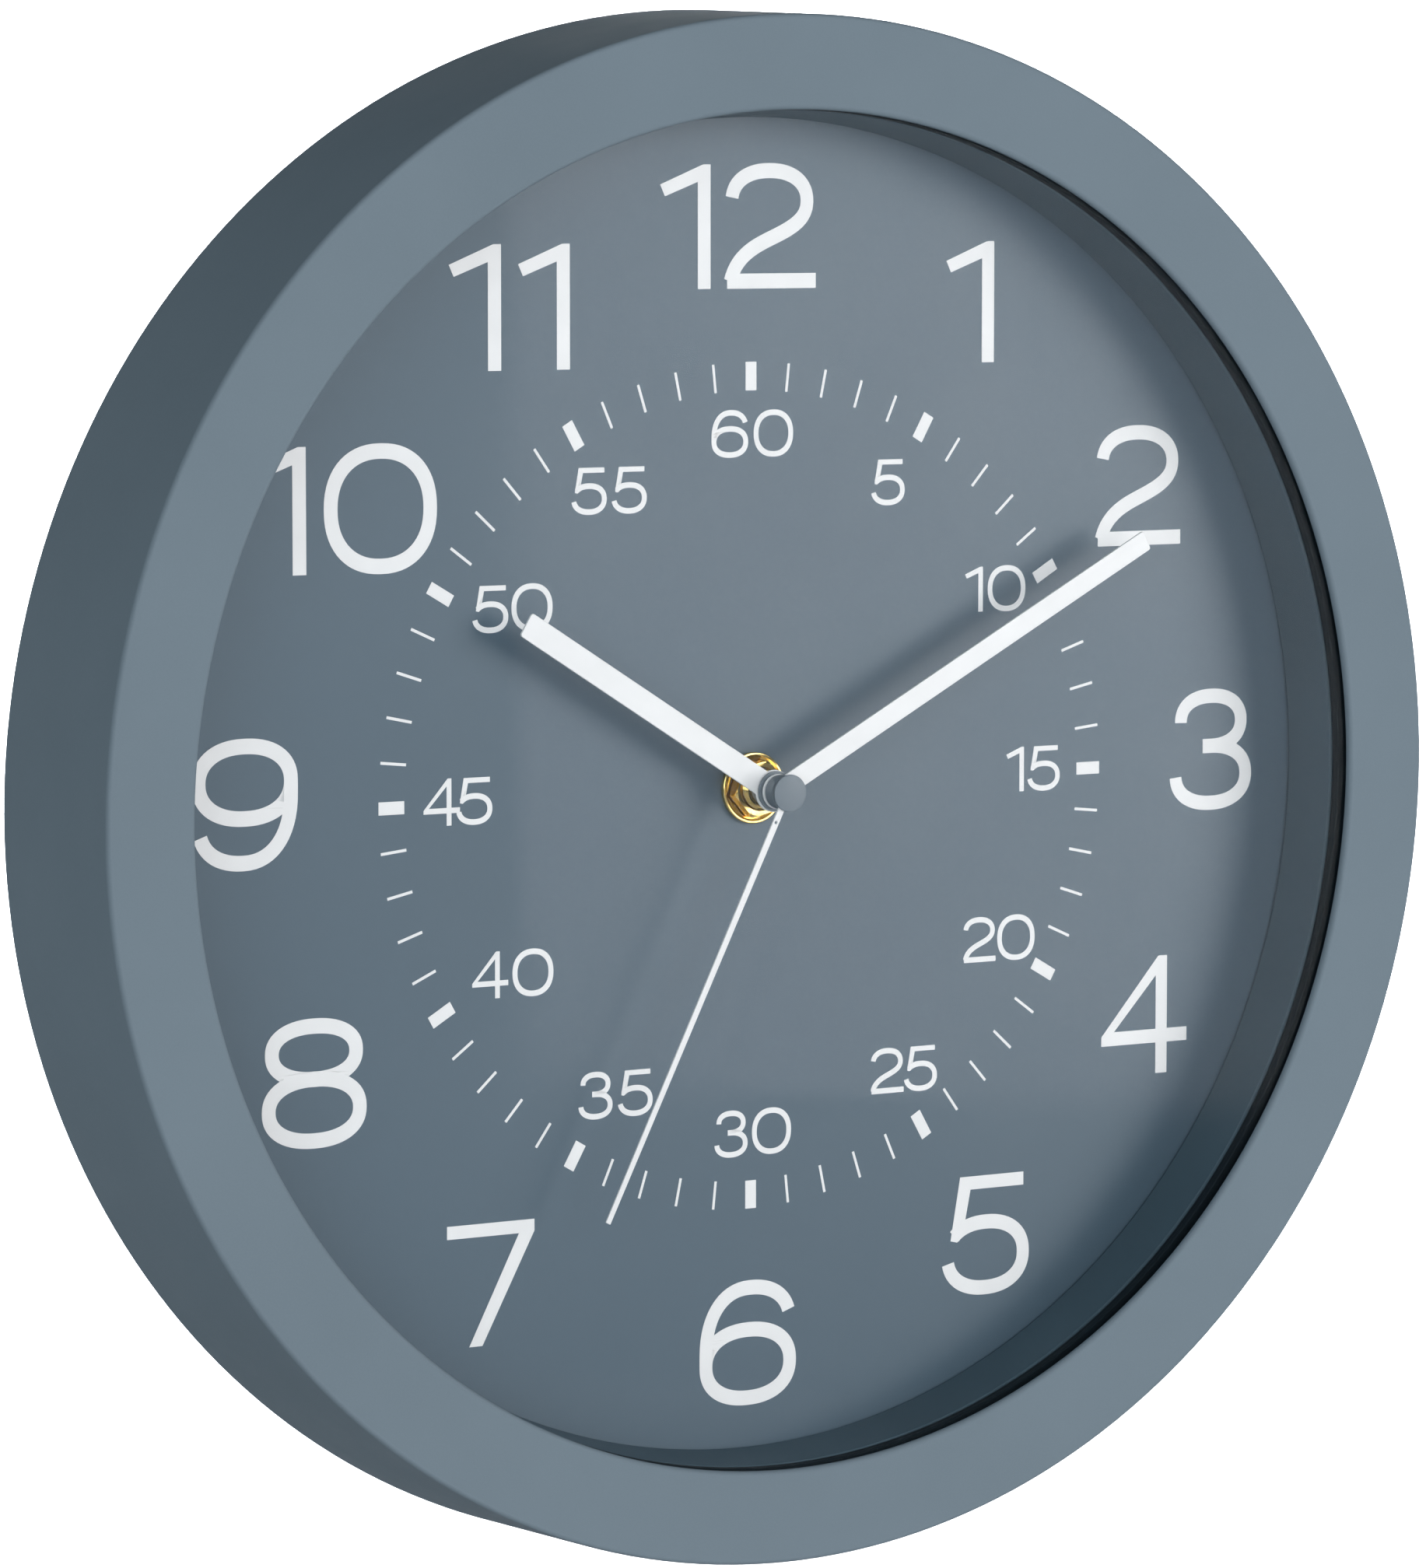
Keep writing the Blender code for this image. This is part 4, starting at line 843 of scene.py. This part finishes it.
def make_centre_fixing():
    """Dished washer, hexagon nut and the threaded bushing that they hold."""
    rear, front = out_span("brass_washer")
    rim_r = radius_of("brass_washer")
    dish = [(rim_r - 0.15, front), (rim_r, front - 0.15), (rim_r, rear), (4.3, rear),
            (4.3, rear + 0.5), (rim_r - 1.6, rear + 0.55), (rim_r - 0.9, rear + 0.75),
            (rim_r - 0.5, front)]
    show(lathe("dished_washer", rounded(dish, 0.08, 3), sides=128), "brass", "brass_washer")
    rear, front = out_span("hex_nut")
    corner_r = 5.77                # 10 mm across the flats
    flats = [polar(corner_r, radians(12) + TURN * i / 6) for i in range(6)]
    blank = plate("nut_blank", [rounded(flats, 0.25, 3), circle(4.3, 64)], (rear, front), 0.0)
    chamfer = lathe("nut_chamfer", [(0.0, front + 0.1), (corner_r - 0.75, front + 0.1),
                                    (corner_r + 0.3, front - 0.5), (corner_r + 0.3, rear + 0.4),
                                    (corner_r - 0.5, rear - 0.1), (0.0, rear - 0.1)],
                    sides=96)
    nut = merged("nut_hexagon", [blank, chamfer], "INTERSECT")
    show(nut, "brass", "hex_nut")
    rear, front = out_span("threaded_bushing")
    inner, outer, flange = 2.85, 4.0, radius_of("threaded_bushing")
    pitch, turns = 0.75, 13
    thread = []
    for i in range(turns):
        crest = front - 0.4 - pitch * i
        thread += [(outer - 0.32, crest + pitch / 2), (outer, crest + 0.06), (outer, crest - 0.06)]
    profile = ([(inner + 0.15, front), (outer - 0.5, front)] + thread
               + [(outer, rear + 0.6), (flange, rear + 0.6), (flange, rear), (inner, rear),
                  (inner, front - 0.15)])
    show(lathe("bushing_thread", profile, sides=72), "brass", "threaded_bushing")


# ---------------------------------------------------------------- back plate and hanger

SCREW_PLACES = [polar(BOSS_CIRCLE_R, radians(30) + TURN * i / 6) for i in range(6)]
POST_PLACES = [middle_of("hanger_screw_1"), middle_of("hanger_screw_2")]
KEYHOLE_R = 4.5
SLOT_R = 2.2
SLOT_TOP = -AXIS_Z / MM        # the origin of the frame is the top of the slot
KEYHOLE_DROP = 8.0


def rib(name, start, end, span, top=1.2, foot=1.8):
    """A straight moulded rib, thinner at its free edge than at its foot."""
    work = bmesh.new()
    start, end = Vector(start), Vector(end)
    along = (end - start).normalized()
    side = Vector((-along.y, along.x))
    add_prism(work, [([start - side * width / 2, end - side * width / 2,
                       end + side * width / 2, start + side * width / 2], out)
                     for width, out in ((top, span[0]), (foot, span[1]))])
    return new_object(name, mesh_from(work, name))


def make_back_plate():
    front = out_span("back_plate")[1]
    sheet_rear, rib_rear, foot = front - 2.0, front - 5.0, front - 1.6
    outer = radius_of("back_plate")
    profile = rounded([(4.3, front), (outer, front), (outer, sheet_rear), (125.0, sheet_rear),
                       (124.2, sheet_rear + 0.45), (117.8, sheet_rear + 0.45),
                       (117.0, sheet_rear), (4.3, sheet_rear)], 0.3, 2)
    cutters = [drum(f"hole_{i}", 1.7, (front - 3, front + 1), x, y, 32)
               for i, (x, y) in enumerate(SCREW_PLACES)]
    for i in range(16):
        x, y = polar(72.0 if i % 2 else 132.0, TURN * (i + 0.25) / 16)
        cutters.append(drum(f"pin_mark_{i}", 3.0, (sheet_rear - 1, sheet_rear + 0.15),
                            x, y, 32, edge=0.02))
    sheet = lathe("back_sheet", profile)
    pieces = [merged("back_disc", [sheet, *cutters], "DIFFERENCE"),
              lathe("rib_ring", [(98.6, rib_rear), (99.8, rib_rear), (100.1, foot),
                                 (98.3, foot)])]
    frame_half, frame_wall = 28.5, 1.6
    outside, inside = frame_half + frame_wall, frame_half
    pieces.append(plate("rib_frame", [box_outline((-outside, outside), (-outside, outside), 2.0),
                                      box_outline((-inside, inside), (-inside, inside), 0.8)],
                        (rib_rear, foot), 0.2))
    for i in range(8):
        angle = TURN * (i + 0.5) / 8
        start = (inside + 0.8) / max(abs(cos(angle)), abs(sin(angle)))
        pieces.append(rib(f"rib_{i}", polar(start, angle), polar(99.2, angle),
                          (rib_rear + 0.25, foot)))
    for i, (x, y) in enumerate(POST_PLACES):
        post_rear = out_span("hanger")[1] + 0.3
        post = drum(f"post_{i}", 3.5, (post_rear, foot), x, y, edge=0.3, foot_r=3.9)
        bore = drum(f"post_bore_{i}", 1.5, (6.0, front - 3), x, y, 32)
        pieces.append(merged(f"bored_post_{i}", [post, bore], "DIFFERENCE"))
        for k in range(4):
            angle = TURN * (k + 0.5) / 4
            pieces.append(rib(f"gusset_{i}_{k}", polar(2.6, angle, (x, y)),
                              polar(7.5, angle, (x, y)), (post_rear + 4.5, foot), 0.9, 1.2))
    show(joined("back_moulding", pieces, sharp=20), "back_plastic", "back_plate")


def make_hanger():
    x_span, y_span, span = box_mm("hanger")
    round_y = SLOT_TOP - KEYHOLE_DROP
    turn = atan2(SLOT_R, sqrt(KEYHOLE_R ** 2 - SLOT_R ** 2)) * 180 / pi
    keyhole = (arc((0.0, round_y), KEYHOLE_R, 90 + turn, 450 - turn, 32)
               + arc((0.0, SLOT_TOP - SLOT_R), SLOT_R, 0, 180, 16))
    holes = [circle(1.5, 24, spot) for spot in POST_PLACES]
    pieces = [plate("hanger_sheet", [box_outline(x_span, y_span, 4.0), keyhole, *holes], span,
                    0.3)]
    for side in (-1, 1):
        pieces.append(block(f"bead_{side}", mirrored(side, 7.4, 10.4),
                            (y_span[0] + 3, y_span[1] - 3),
                            (span[0] - 0.45, span[0] + 0.5), 0.4, 1.4))
    show(merged("hanger_bracket", pieces), "zinc_steel", "hanger")


def make_screw(node, head_r, head_h, shank_r, angle):
    """A pan head with a cross recess, and a coarse thread below it."""
    x, y = middle_of(node)
    rear, end = out_span(node)
    seat = rear + head_h
    dome = [(head_r * sin(radians(a)), rear + 0.62 * head_h * (1 - cos(radians(a))))
            for a in range(0, 81, 8)]
    profile = dome + [(head_r, rear + 0.72 * head_h), (head_r, seat - 0.1), (head_r - 0.1, seat),
                      (shank_r, seat)]
    out = seat + 0.8
    while out < end - 2.2:
        profile += [(0.72 * shank_r, out), (shank_r, out + 0.5), (0.72 * shank_r, out + 1.0)]
        out += 1.1
    profile += [(0.7 * shank_r, end - 1.2), (0.0, end)]
    body = lathe(f"{node}_blank", profile, x, y, 40)
    arm, half = 0.62 * head_r, 0.16 * head_r
    plus = [(arm, half), (half, half), (half, arm), (-half, arm), (-half, half), (-arm, half),
            (-arm, -half), (-half, -half), (-half, -arm), (half, -arm), (half, -half),
            (arm, -half)]
    recess = plate(f"{node}_recess", [turned_outline(plus, angle, x, y)],
                   (rear - 0.5, rear + 0.65 * head_h), 0.0)
    show(merged(f"{node}_cross", [body, recess], "DIFFERENCE"), "zinc_steel", node)


def make_screws():
    for i in range(1, 7):
        make_screw(f"back_screw_{i}", 3.0, 1.8, 1.4, 0.9 * i)
    for i in (1, 2):
        make_screw(f"hanger_screw_{i}", 2.8, 1.6, 1.2, 0.3 + 1.3 * i)


# ---------------------------------------------------------------- movement

BAY_TOP = -12.4
BAY_ROOF = -11.3
TRAIN_POSTS = ((-22.0, -7.5), (-22.0, 12.0), (22.0, 14.0), (23.5, -8.8))
SETTING_SPOT = middle_of("set_knob")
WELL_R = 5.0


def make_movement_case():
    x_span, y_span, (rear, front) = box_mm("movement_case")
    half, wall = x_span[1], 1.4
    inner, floor = half - wall, front - 1.0
    pieces = [
        plate("case_walls", [box_outline(x_span, y_span, 2.2),
                             box_outline((-inner, inner), (-inner, inner), 0.8)],
              (rear, floor + 0.3), 0.25),
        plate("case_floor", [box_outline(x_span, y_span, 2.2), circle(4.3, 48)],
              (floor, front), 0.25),
        block("bay_wall", (-inner + 1.6, inner - 1.6), (BAY_TOP, BAY_ROOF),
              (rear, floor + 0.2), 0.15),
        block("bay_wall_ends", (-inner - 0.2, inner + 0.2), (BAY_TOP, BAY_ROOF),
              (7.0, floor + 0.2), 0.15)]
    for i, (x, y) in enumerate(TRAIN_POSTS):
        pieces.append(drum(f"case_post_{i}", 1.5, (9.3, floor + 0.3), x, y, 24))
    for side in (-1, 1):
        for k in range(5):
            middle = -4.0 + 4.0 * k
            pieces.append(block(f"grip_{side}_{k}", mirrored(side, half - 0.3, half + 0.4),
                                (middle - 0.7, middle + 0.7), (rear + 1.5, 13.0), 0.15, 0.2))
        pieces.append(block(f"latch_{side}", mirrored(side, 13.5, 18.5),
                            (half - 0.3, half + 0.7), (rear + 1.2, rear + 5.2), 0.2))
        pieces.append(block(f"cradle_{side}", mirrored(side, 5.0, 20.0),
                            (-inner - 0.2, -inner + 0.9), (12.6, floor + 0.2), 0.15))
    whole = merged("case_body", pieces)
    cutters = [block("finger_notch", (-8.0, 8.0), (-half - 1, -inner + 0.05),
                     (rear - 2, rear + 4.5), 0.0, 0.04)]
    for side in (-1, 1):
        cutters.append(block(f"latch_slot_{side}", mirrored(side, 13.5, 18.5),
                             (inner - 0.2, half - 0.4), (rear - 1, rear + 1.0), 0.0, 0.2))
    show(merged("movement_housing", [whole, *cutters], "DIFFERENCE"), "black_plastic",
         "movement_case")


def make_movement_cover():
    x_span, y_span, (rear, _) = box_mm("movement_cover")
    front = rear + 1.2
    x, y = SETTING_SPOT
    cutters = [plate("label_recess", [box_outline((-21.0, 9.0), (1.5, 21.0), 1.0)],
                     (rear - 1, rear + 0.25), 0.0)]
    for k in range(6):
        cutters.append(block(f"groove_{k}", (-21.0, -5.0), (-7.6 + 1.4 * k, -7.0 + 1.4 * k),
                             (rear - 1, rear + 0.35), 0.0, 0.28))
    sheet = plate("cover_sheet", [box_outline(x_span, y_span, 1.2),
                                  circle(WELL_R, 64, (x, y))], (rear, front), 0.2)
    pieces = [
        merged("cover_cut", [sheet, *cutters], "DIFFERENCE"),
        lathe("cover_well", [(WELL_R - 0.15, rear + 0.3), (WELL_R + 0.8, rear + 0.3),
                             (WELL_R + 0.8, 4.8), (1.3, 4.8), (1.3, 4.0),
                             (WELL_R - 0.15, 4.0)], x, y, 64)]
    for node, arbor_r, bearing_front in (("seconds_wheel", 0.5, 3.0), ("third_wheel", 0.5, 5.5),
                                         ("intermediate_wheel", 0.5, 3.1), ("rotor", 0.4, 2.9)):
        profile = [(0.0, rear + 0.4), (arbor_r + 0.9, rear + 0.4), (arbor_r + 0.9, bearing_front),
                   (arbor_r + 0.3, bearing_front), (arbor_r + 0.3, rear + 0.7),
                   (0.0, rear + 0.7)]
        pieces.append(lathe(f"bearing_{node}", profile, *middle_of(node), 32))
    arrow = (arc((0, 0), 8.3, 65, 190, 24) + [polar(9.1, radians(190)),
             polar(7.9, radians(208)), polar(6.7, radians(190))] + arc((0, 0), 7.5, 190, 65, 24))
    arrow_piece = plate("cover_arrow", [[(px + x, py + y) for px, py in arrow]],
                        (rear - 0.2, rear + 0.4), 0.05)
    rim = lathe("well_rim", rounded([(WELL_R + 0.3, rear - 0.25), (WELL_R + 1.1, rear - 0.25),
                                     (WELL_R + 1.1, rear + 0.4), (WELL_R + 0.3, rear + 0.4)],
                                    0.1, 2), x, y, 64)
    whole = joined("cover_moulding", [*pieces, arrow_piece, rim])
    show(whole, "black_plastic", "movement_cover")


def make_set_knob():
    (x, y), (rear, front) = SETTING_SPOT, out_span("set_knob")
    rim_r = radius_of("set_knob")
    rim = []
    for i in range(20):
        rim += [polar(rim_r - 0.32 * sin(pi * k / 6) ** 2, TURN * (i + k / 6) / 20, (x, y))
                for k in range(6)]
    grip = plate("knob_grip", [rim], (rear, front), 0.15, sharp=40)
    slot = plate("knob_slot", [turned_outline(box_outline((-2.7, 2.7), (-0.5, 0.5), 0.3),
                                              radians(25), x, y)], (rear - 1, rear + 0.8), 0.0)
    socket = drum("knob_socket", 1.3, (front - 1.0, front + 1), x, y, 24, edge=0.02)
    show(merged("knob_turned", [grip, slot, socket], "DIFFERENCE"), "train_plastic",
         "set_knob", body="setting")


def make_battery():
    x_span, y_span, span = box_mm("battery")
    y, out = sum(y_span) / 2, sum(span) / 2
    left, nub = x_span
    right, body_r = nub - 1.1, (span[1] - span[0]) / 2
    wrap = [(body_r - 1.0, right - 0.1), (body_r - 0.5, right), (body_r - 0.12, right - 0.35),
            (body_r, right - 0.9), (body_r, left + 0.9), (body_r - 0.12, left + 0.35),
            (body_r - 0.5, left), (body_r - 1.0, left + 0.1), (body_r - 1.0, left + 0.5),
            (body_r - 0.3, left + 0.9), (body_r - 0.3, right - 0.9), (body_r - 1.0, right - 0.5)]
    show(lathe("cell_jacket", wrap, 0.0, y, 96, out), "battery_jacket", body="battery")
    can = [(0.0, nub), (2.35, nub), (2.65, nub - 0.1), (2.75, nub - 0.35), (2.75, right - 0.35),
           (3.1, right - 0.55), (5.2, right - 0.75), (6.3, right - 1.2), (6.45, right - 1.8),
           (6.45, left + 1.4), (6.2, left + 0.9), (5.2, left + 0.55), (4.6, left + 0.3),
           (0.0, left + 0.3)]
    show(lathe("cell_can", can, 0.0, y, 96, out), "zinc_steel", "battery", body="battery")


def sheet_strip(name, x_span, y_span, span):
    return block(name, x_span, y_span, span, 0.08, 0.1)


def make_contacts():
    _, battery_y, battery_span = box_mm("battery")
    y, out = sum(battery_y) / 2, sum(battery_span) / 2
    inner, outer = 25.9, 26.2
    pad_y, pad_out = (-24.0, -14.5), (3.5, 12.5)
    button = rounded([(0.0, inner - 0.35), (1.7, inner - 0.35), (2.3, inner + 0.1),
                      (0.0, inner + 0.1)], 0.15, 2, closed=False)
    positive = [sheet_strip("plus_pad", (inner, outer), pad_y, pad_out),
                sheet_strip("plus_riser", (inner, outer), (-18.5, 7.0), (2.5, 5.5)),
                lathe("plus_button", button, 0.0, y, 48, out)]
    show(merged("plus_contact", positive), "zinc_steel", "contact_positive")
    strip_y = (BAY_ROOF + 0.4, BAY_ROOF + 2.4)
    negative = [sheet_strip("minus_pad", (-outer, -inner), pad_y, pad_out),
                sheet_strip("minus_riser", (-outer + 0.01, -inner + 0.01), (-18.5, strip_y[1]),
                            (2.5, 5.5)),
                sheet_strip("minus_strip", (-outer, 11.6), strip_y, (2.51, 2.81)),
                sheet_strip("minus_tongue", (9.6, 11.59), (strip_y[0] + 0.01, 7.0), (2.5, 2.8))]
    show(joined("minus_contact", negative), "zinc_steel", "contact_negative")
    show_spring(y, out, inner)


def show_spring(y, out, inner):
    """The cell's conical spring, drawn pressed flat on the minus pad."""
    turns, steps, wire_r = 2.6, 90, 0.17
    curve = bpy.data.curves.new("minus_spring", "CURVE")
    curve.dimensions = "3D"
    curve.bevel_depth = wire_r * MM
    curve.bevel_resolution = 2
    curve.use_fill_caps = True
    spline = curve.splines.new("POLY")
    spline.points.add(steps)
    for i, point in enumerate(spline.points):
        part = i / steps
        spot = turned_spot(4.5 - 2.3 * part, -inner + wire_r + 0.6 * part,
                           TURN * turns * part, 0.0, y, out)
        point.co = (*spot, 1.0)
    wire = mesh_from(taken(from_curve("minus_spring_path", curve)), "minus_spring")
    show(new_object("minus_spring", wire, 60), "zinc_steel")


# ---------------------------------------------------------------- carried-over CAD pieces

KEPT = {
    "train_plastic": ("train_plate", "rotor", "intermediate_wheel", "seconds_wheel",
                      "third_wheel", "centre_wheel", "minute_wheel", "hour_wheel",
                      "setting_shaft"),
    "brass": ("minute_arbor",), "washer_rubber": ("rubber_washer",),
    "black_plastic": ("clock_chip",), "zinc_steel": ("quartz_crystal",),
    "steel": ("stator", "coil_core"), "copper": ("coil_winding",),
    "magnet": ("rotor_magnet",), "board": ("circuit_board",),
}


def dress_cad():
    for paint, nodes in KEPT.items():
        for node in nodes:
            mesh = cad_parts[node].data
            mesh.materials.clear()
            mesh.materials.append(MATERIALS[paint])


# ---------------------------------------------------------------- studio

CAMERA_FROM = Vector((-683.1, -1085.0, 120.0))   # from the middle of the dial's face
CAMERA_AT = Vector((-8.6, 0.0, 1.1))
CAMERA_LENS = 152.8
CAMERA_SIDE = -32.0            # degrees; to the left of the clock
KEY_POWER = 16.5
FILL_POWER = 13.5
RIM_POWER = 2.4
SHEEN_POWER = 18.0
COOL = (0.84, 0.95, 1.0)
BACK_POWER = 10.5
BACKDROP_POWER = 85.0


def aim(obj, target):
    obj.rotation_euler = (target - obj.location).to_track_quat("-Z", "Y").to_euler()


def make_camera():
    middle = place(0, 0, DIAL_FRONT)
    data = bpy.data.cameras.new("camera")
    data.lens = CAMERA_LENS
    data.sensor_width = 36.0
    camera = linked("camera", data)
    camera.location = middle + CAMERA_FROM * MM
    aim(camera, middle + CAMERA_AT * MM)
    bpy.context.scene.camera = camera


def area_light(name, where, size, power, target=None, spread=180, colour=(1.0, 1.0, 1.0)):
    data = bpy.data.lights.new(name, "AREA")
    data.color = colour
    data.shape = "RECTANGLE"
    data.size, data.size_y = size
    data.energy = power
    data.spread = radians(spread)
    light = linked(name, data)
    light.location = where
    aim(light, target or place(0, 0, DIAL_FRONT))


def around(azimuth, elevation, distance):
    """A spot seen from the dial: degrees to the right of straight ahead, and above it."""
    side, up = radians(azimuth), radians(elevation)
    return place(0, 0, DIAL_FRONT) + distance * Vector((sin(side) * cos(up),
                                                        -cos(side) * cos(up), sin(up)))


def make_backdrop():
    """A roll of pale paper, lying as a floor below the clock and curving up behind it."""
    floor_z = cad_box[0][2] - 0.25
    front, back, bend, half, top = -1.6, 2.4, 0.8, 1.4, 1.6
    side = [(front, floor_z)]
    side += [(back - bend + bend * sin(radians(a)), floor_z + bend * (1 - cos(radians(a))))
             for a in range(0, 91, 6)]
    side.append((back, floor_z + top))
    work = bmesh.new()
    rows = [[work.verts.new((x, y, z)) for y, z in side] for x in (-half, half)]
    for k in range(len(side) - 1):
        work.faces.new([rows[0][k], rows[1][k], rows[1][k + 1], rows[0][k + 1]])
    mesh = written(work, "studio_sweep")
    mesh.transform(Matrix.Rotation(radians(CAMERA_SIDE), 4, "Z"))
    paper = Nodes("backdrop_paper", (0.66, 0.66, 0.67), 0.9)
    paper.finish(paper.vary_colour(1.5, 0.01), paper.bump(paper.noise(300, 2.0), 0.1, 0.05))
    sweep = new_object("studio_sweep", mesh)
    sweep.data.materials.append(paper.material)
    area_light("backdrop_light", around(CAMERA_SIDE + 180, 42, 1.7), (1.8, 0.4), BACKDROP_POWER,
               target=around(CAMERA_SIDE + 180, -8, 2.4), spread=110)


def make_studio():
    make_backdrop()
    world = bpy.data.worlds.new("studio_air")
    world.use_nodes = True
    world.node_tree.nodes["Background"].inputs["Color"].default_value = (0.80, 0.93, 1.0, 1.0)
    world.node_tree.nodes["Background"].inputs["Strength"].default_value = 0.15
    bpy.context.scene.world = world
    area_light("key", around(-5, 7, 2.0), (1.3, 1.3), KEY_POWER)
    area_light("fill", around(-50, 12, 2.2), (1.2, 1.2), FILL_POWER, colour=COOL)
    area_light("rim", around(-115, 4, 1.6), (0.9, 1.2), RIM_POWER, colour=COOL)
    area_light("back", around(182, 0, 2.1), (1.1, 1.1), BACK_POWER)
    area_light("sheen", around(43, 5, 1.9), (1.0, 1.0), SHEEN_POWER)
    bpy.context.scene.view_settings.view_transform = "Standard"


# ---------------------------------------------------------------- build

make_camera()
make_studio()
make_case()
make_lens_stack()
make_dial()
make_ticks()
make_numerals()
make_hands()
make_centre_fixing()
make_back_plate()
make_hanger()
make_screws()
make_movement_case()
make_movement_cover()
make_set_knob()
make_battery()
make_contacts()
dress_cad()
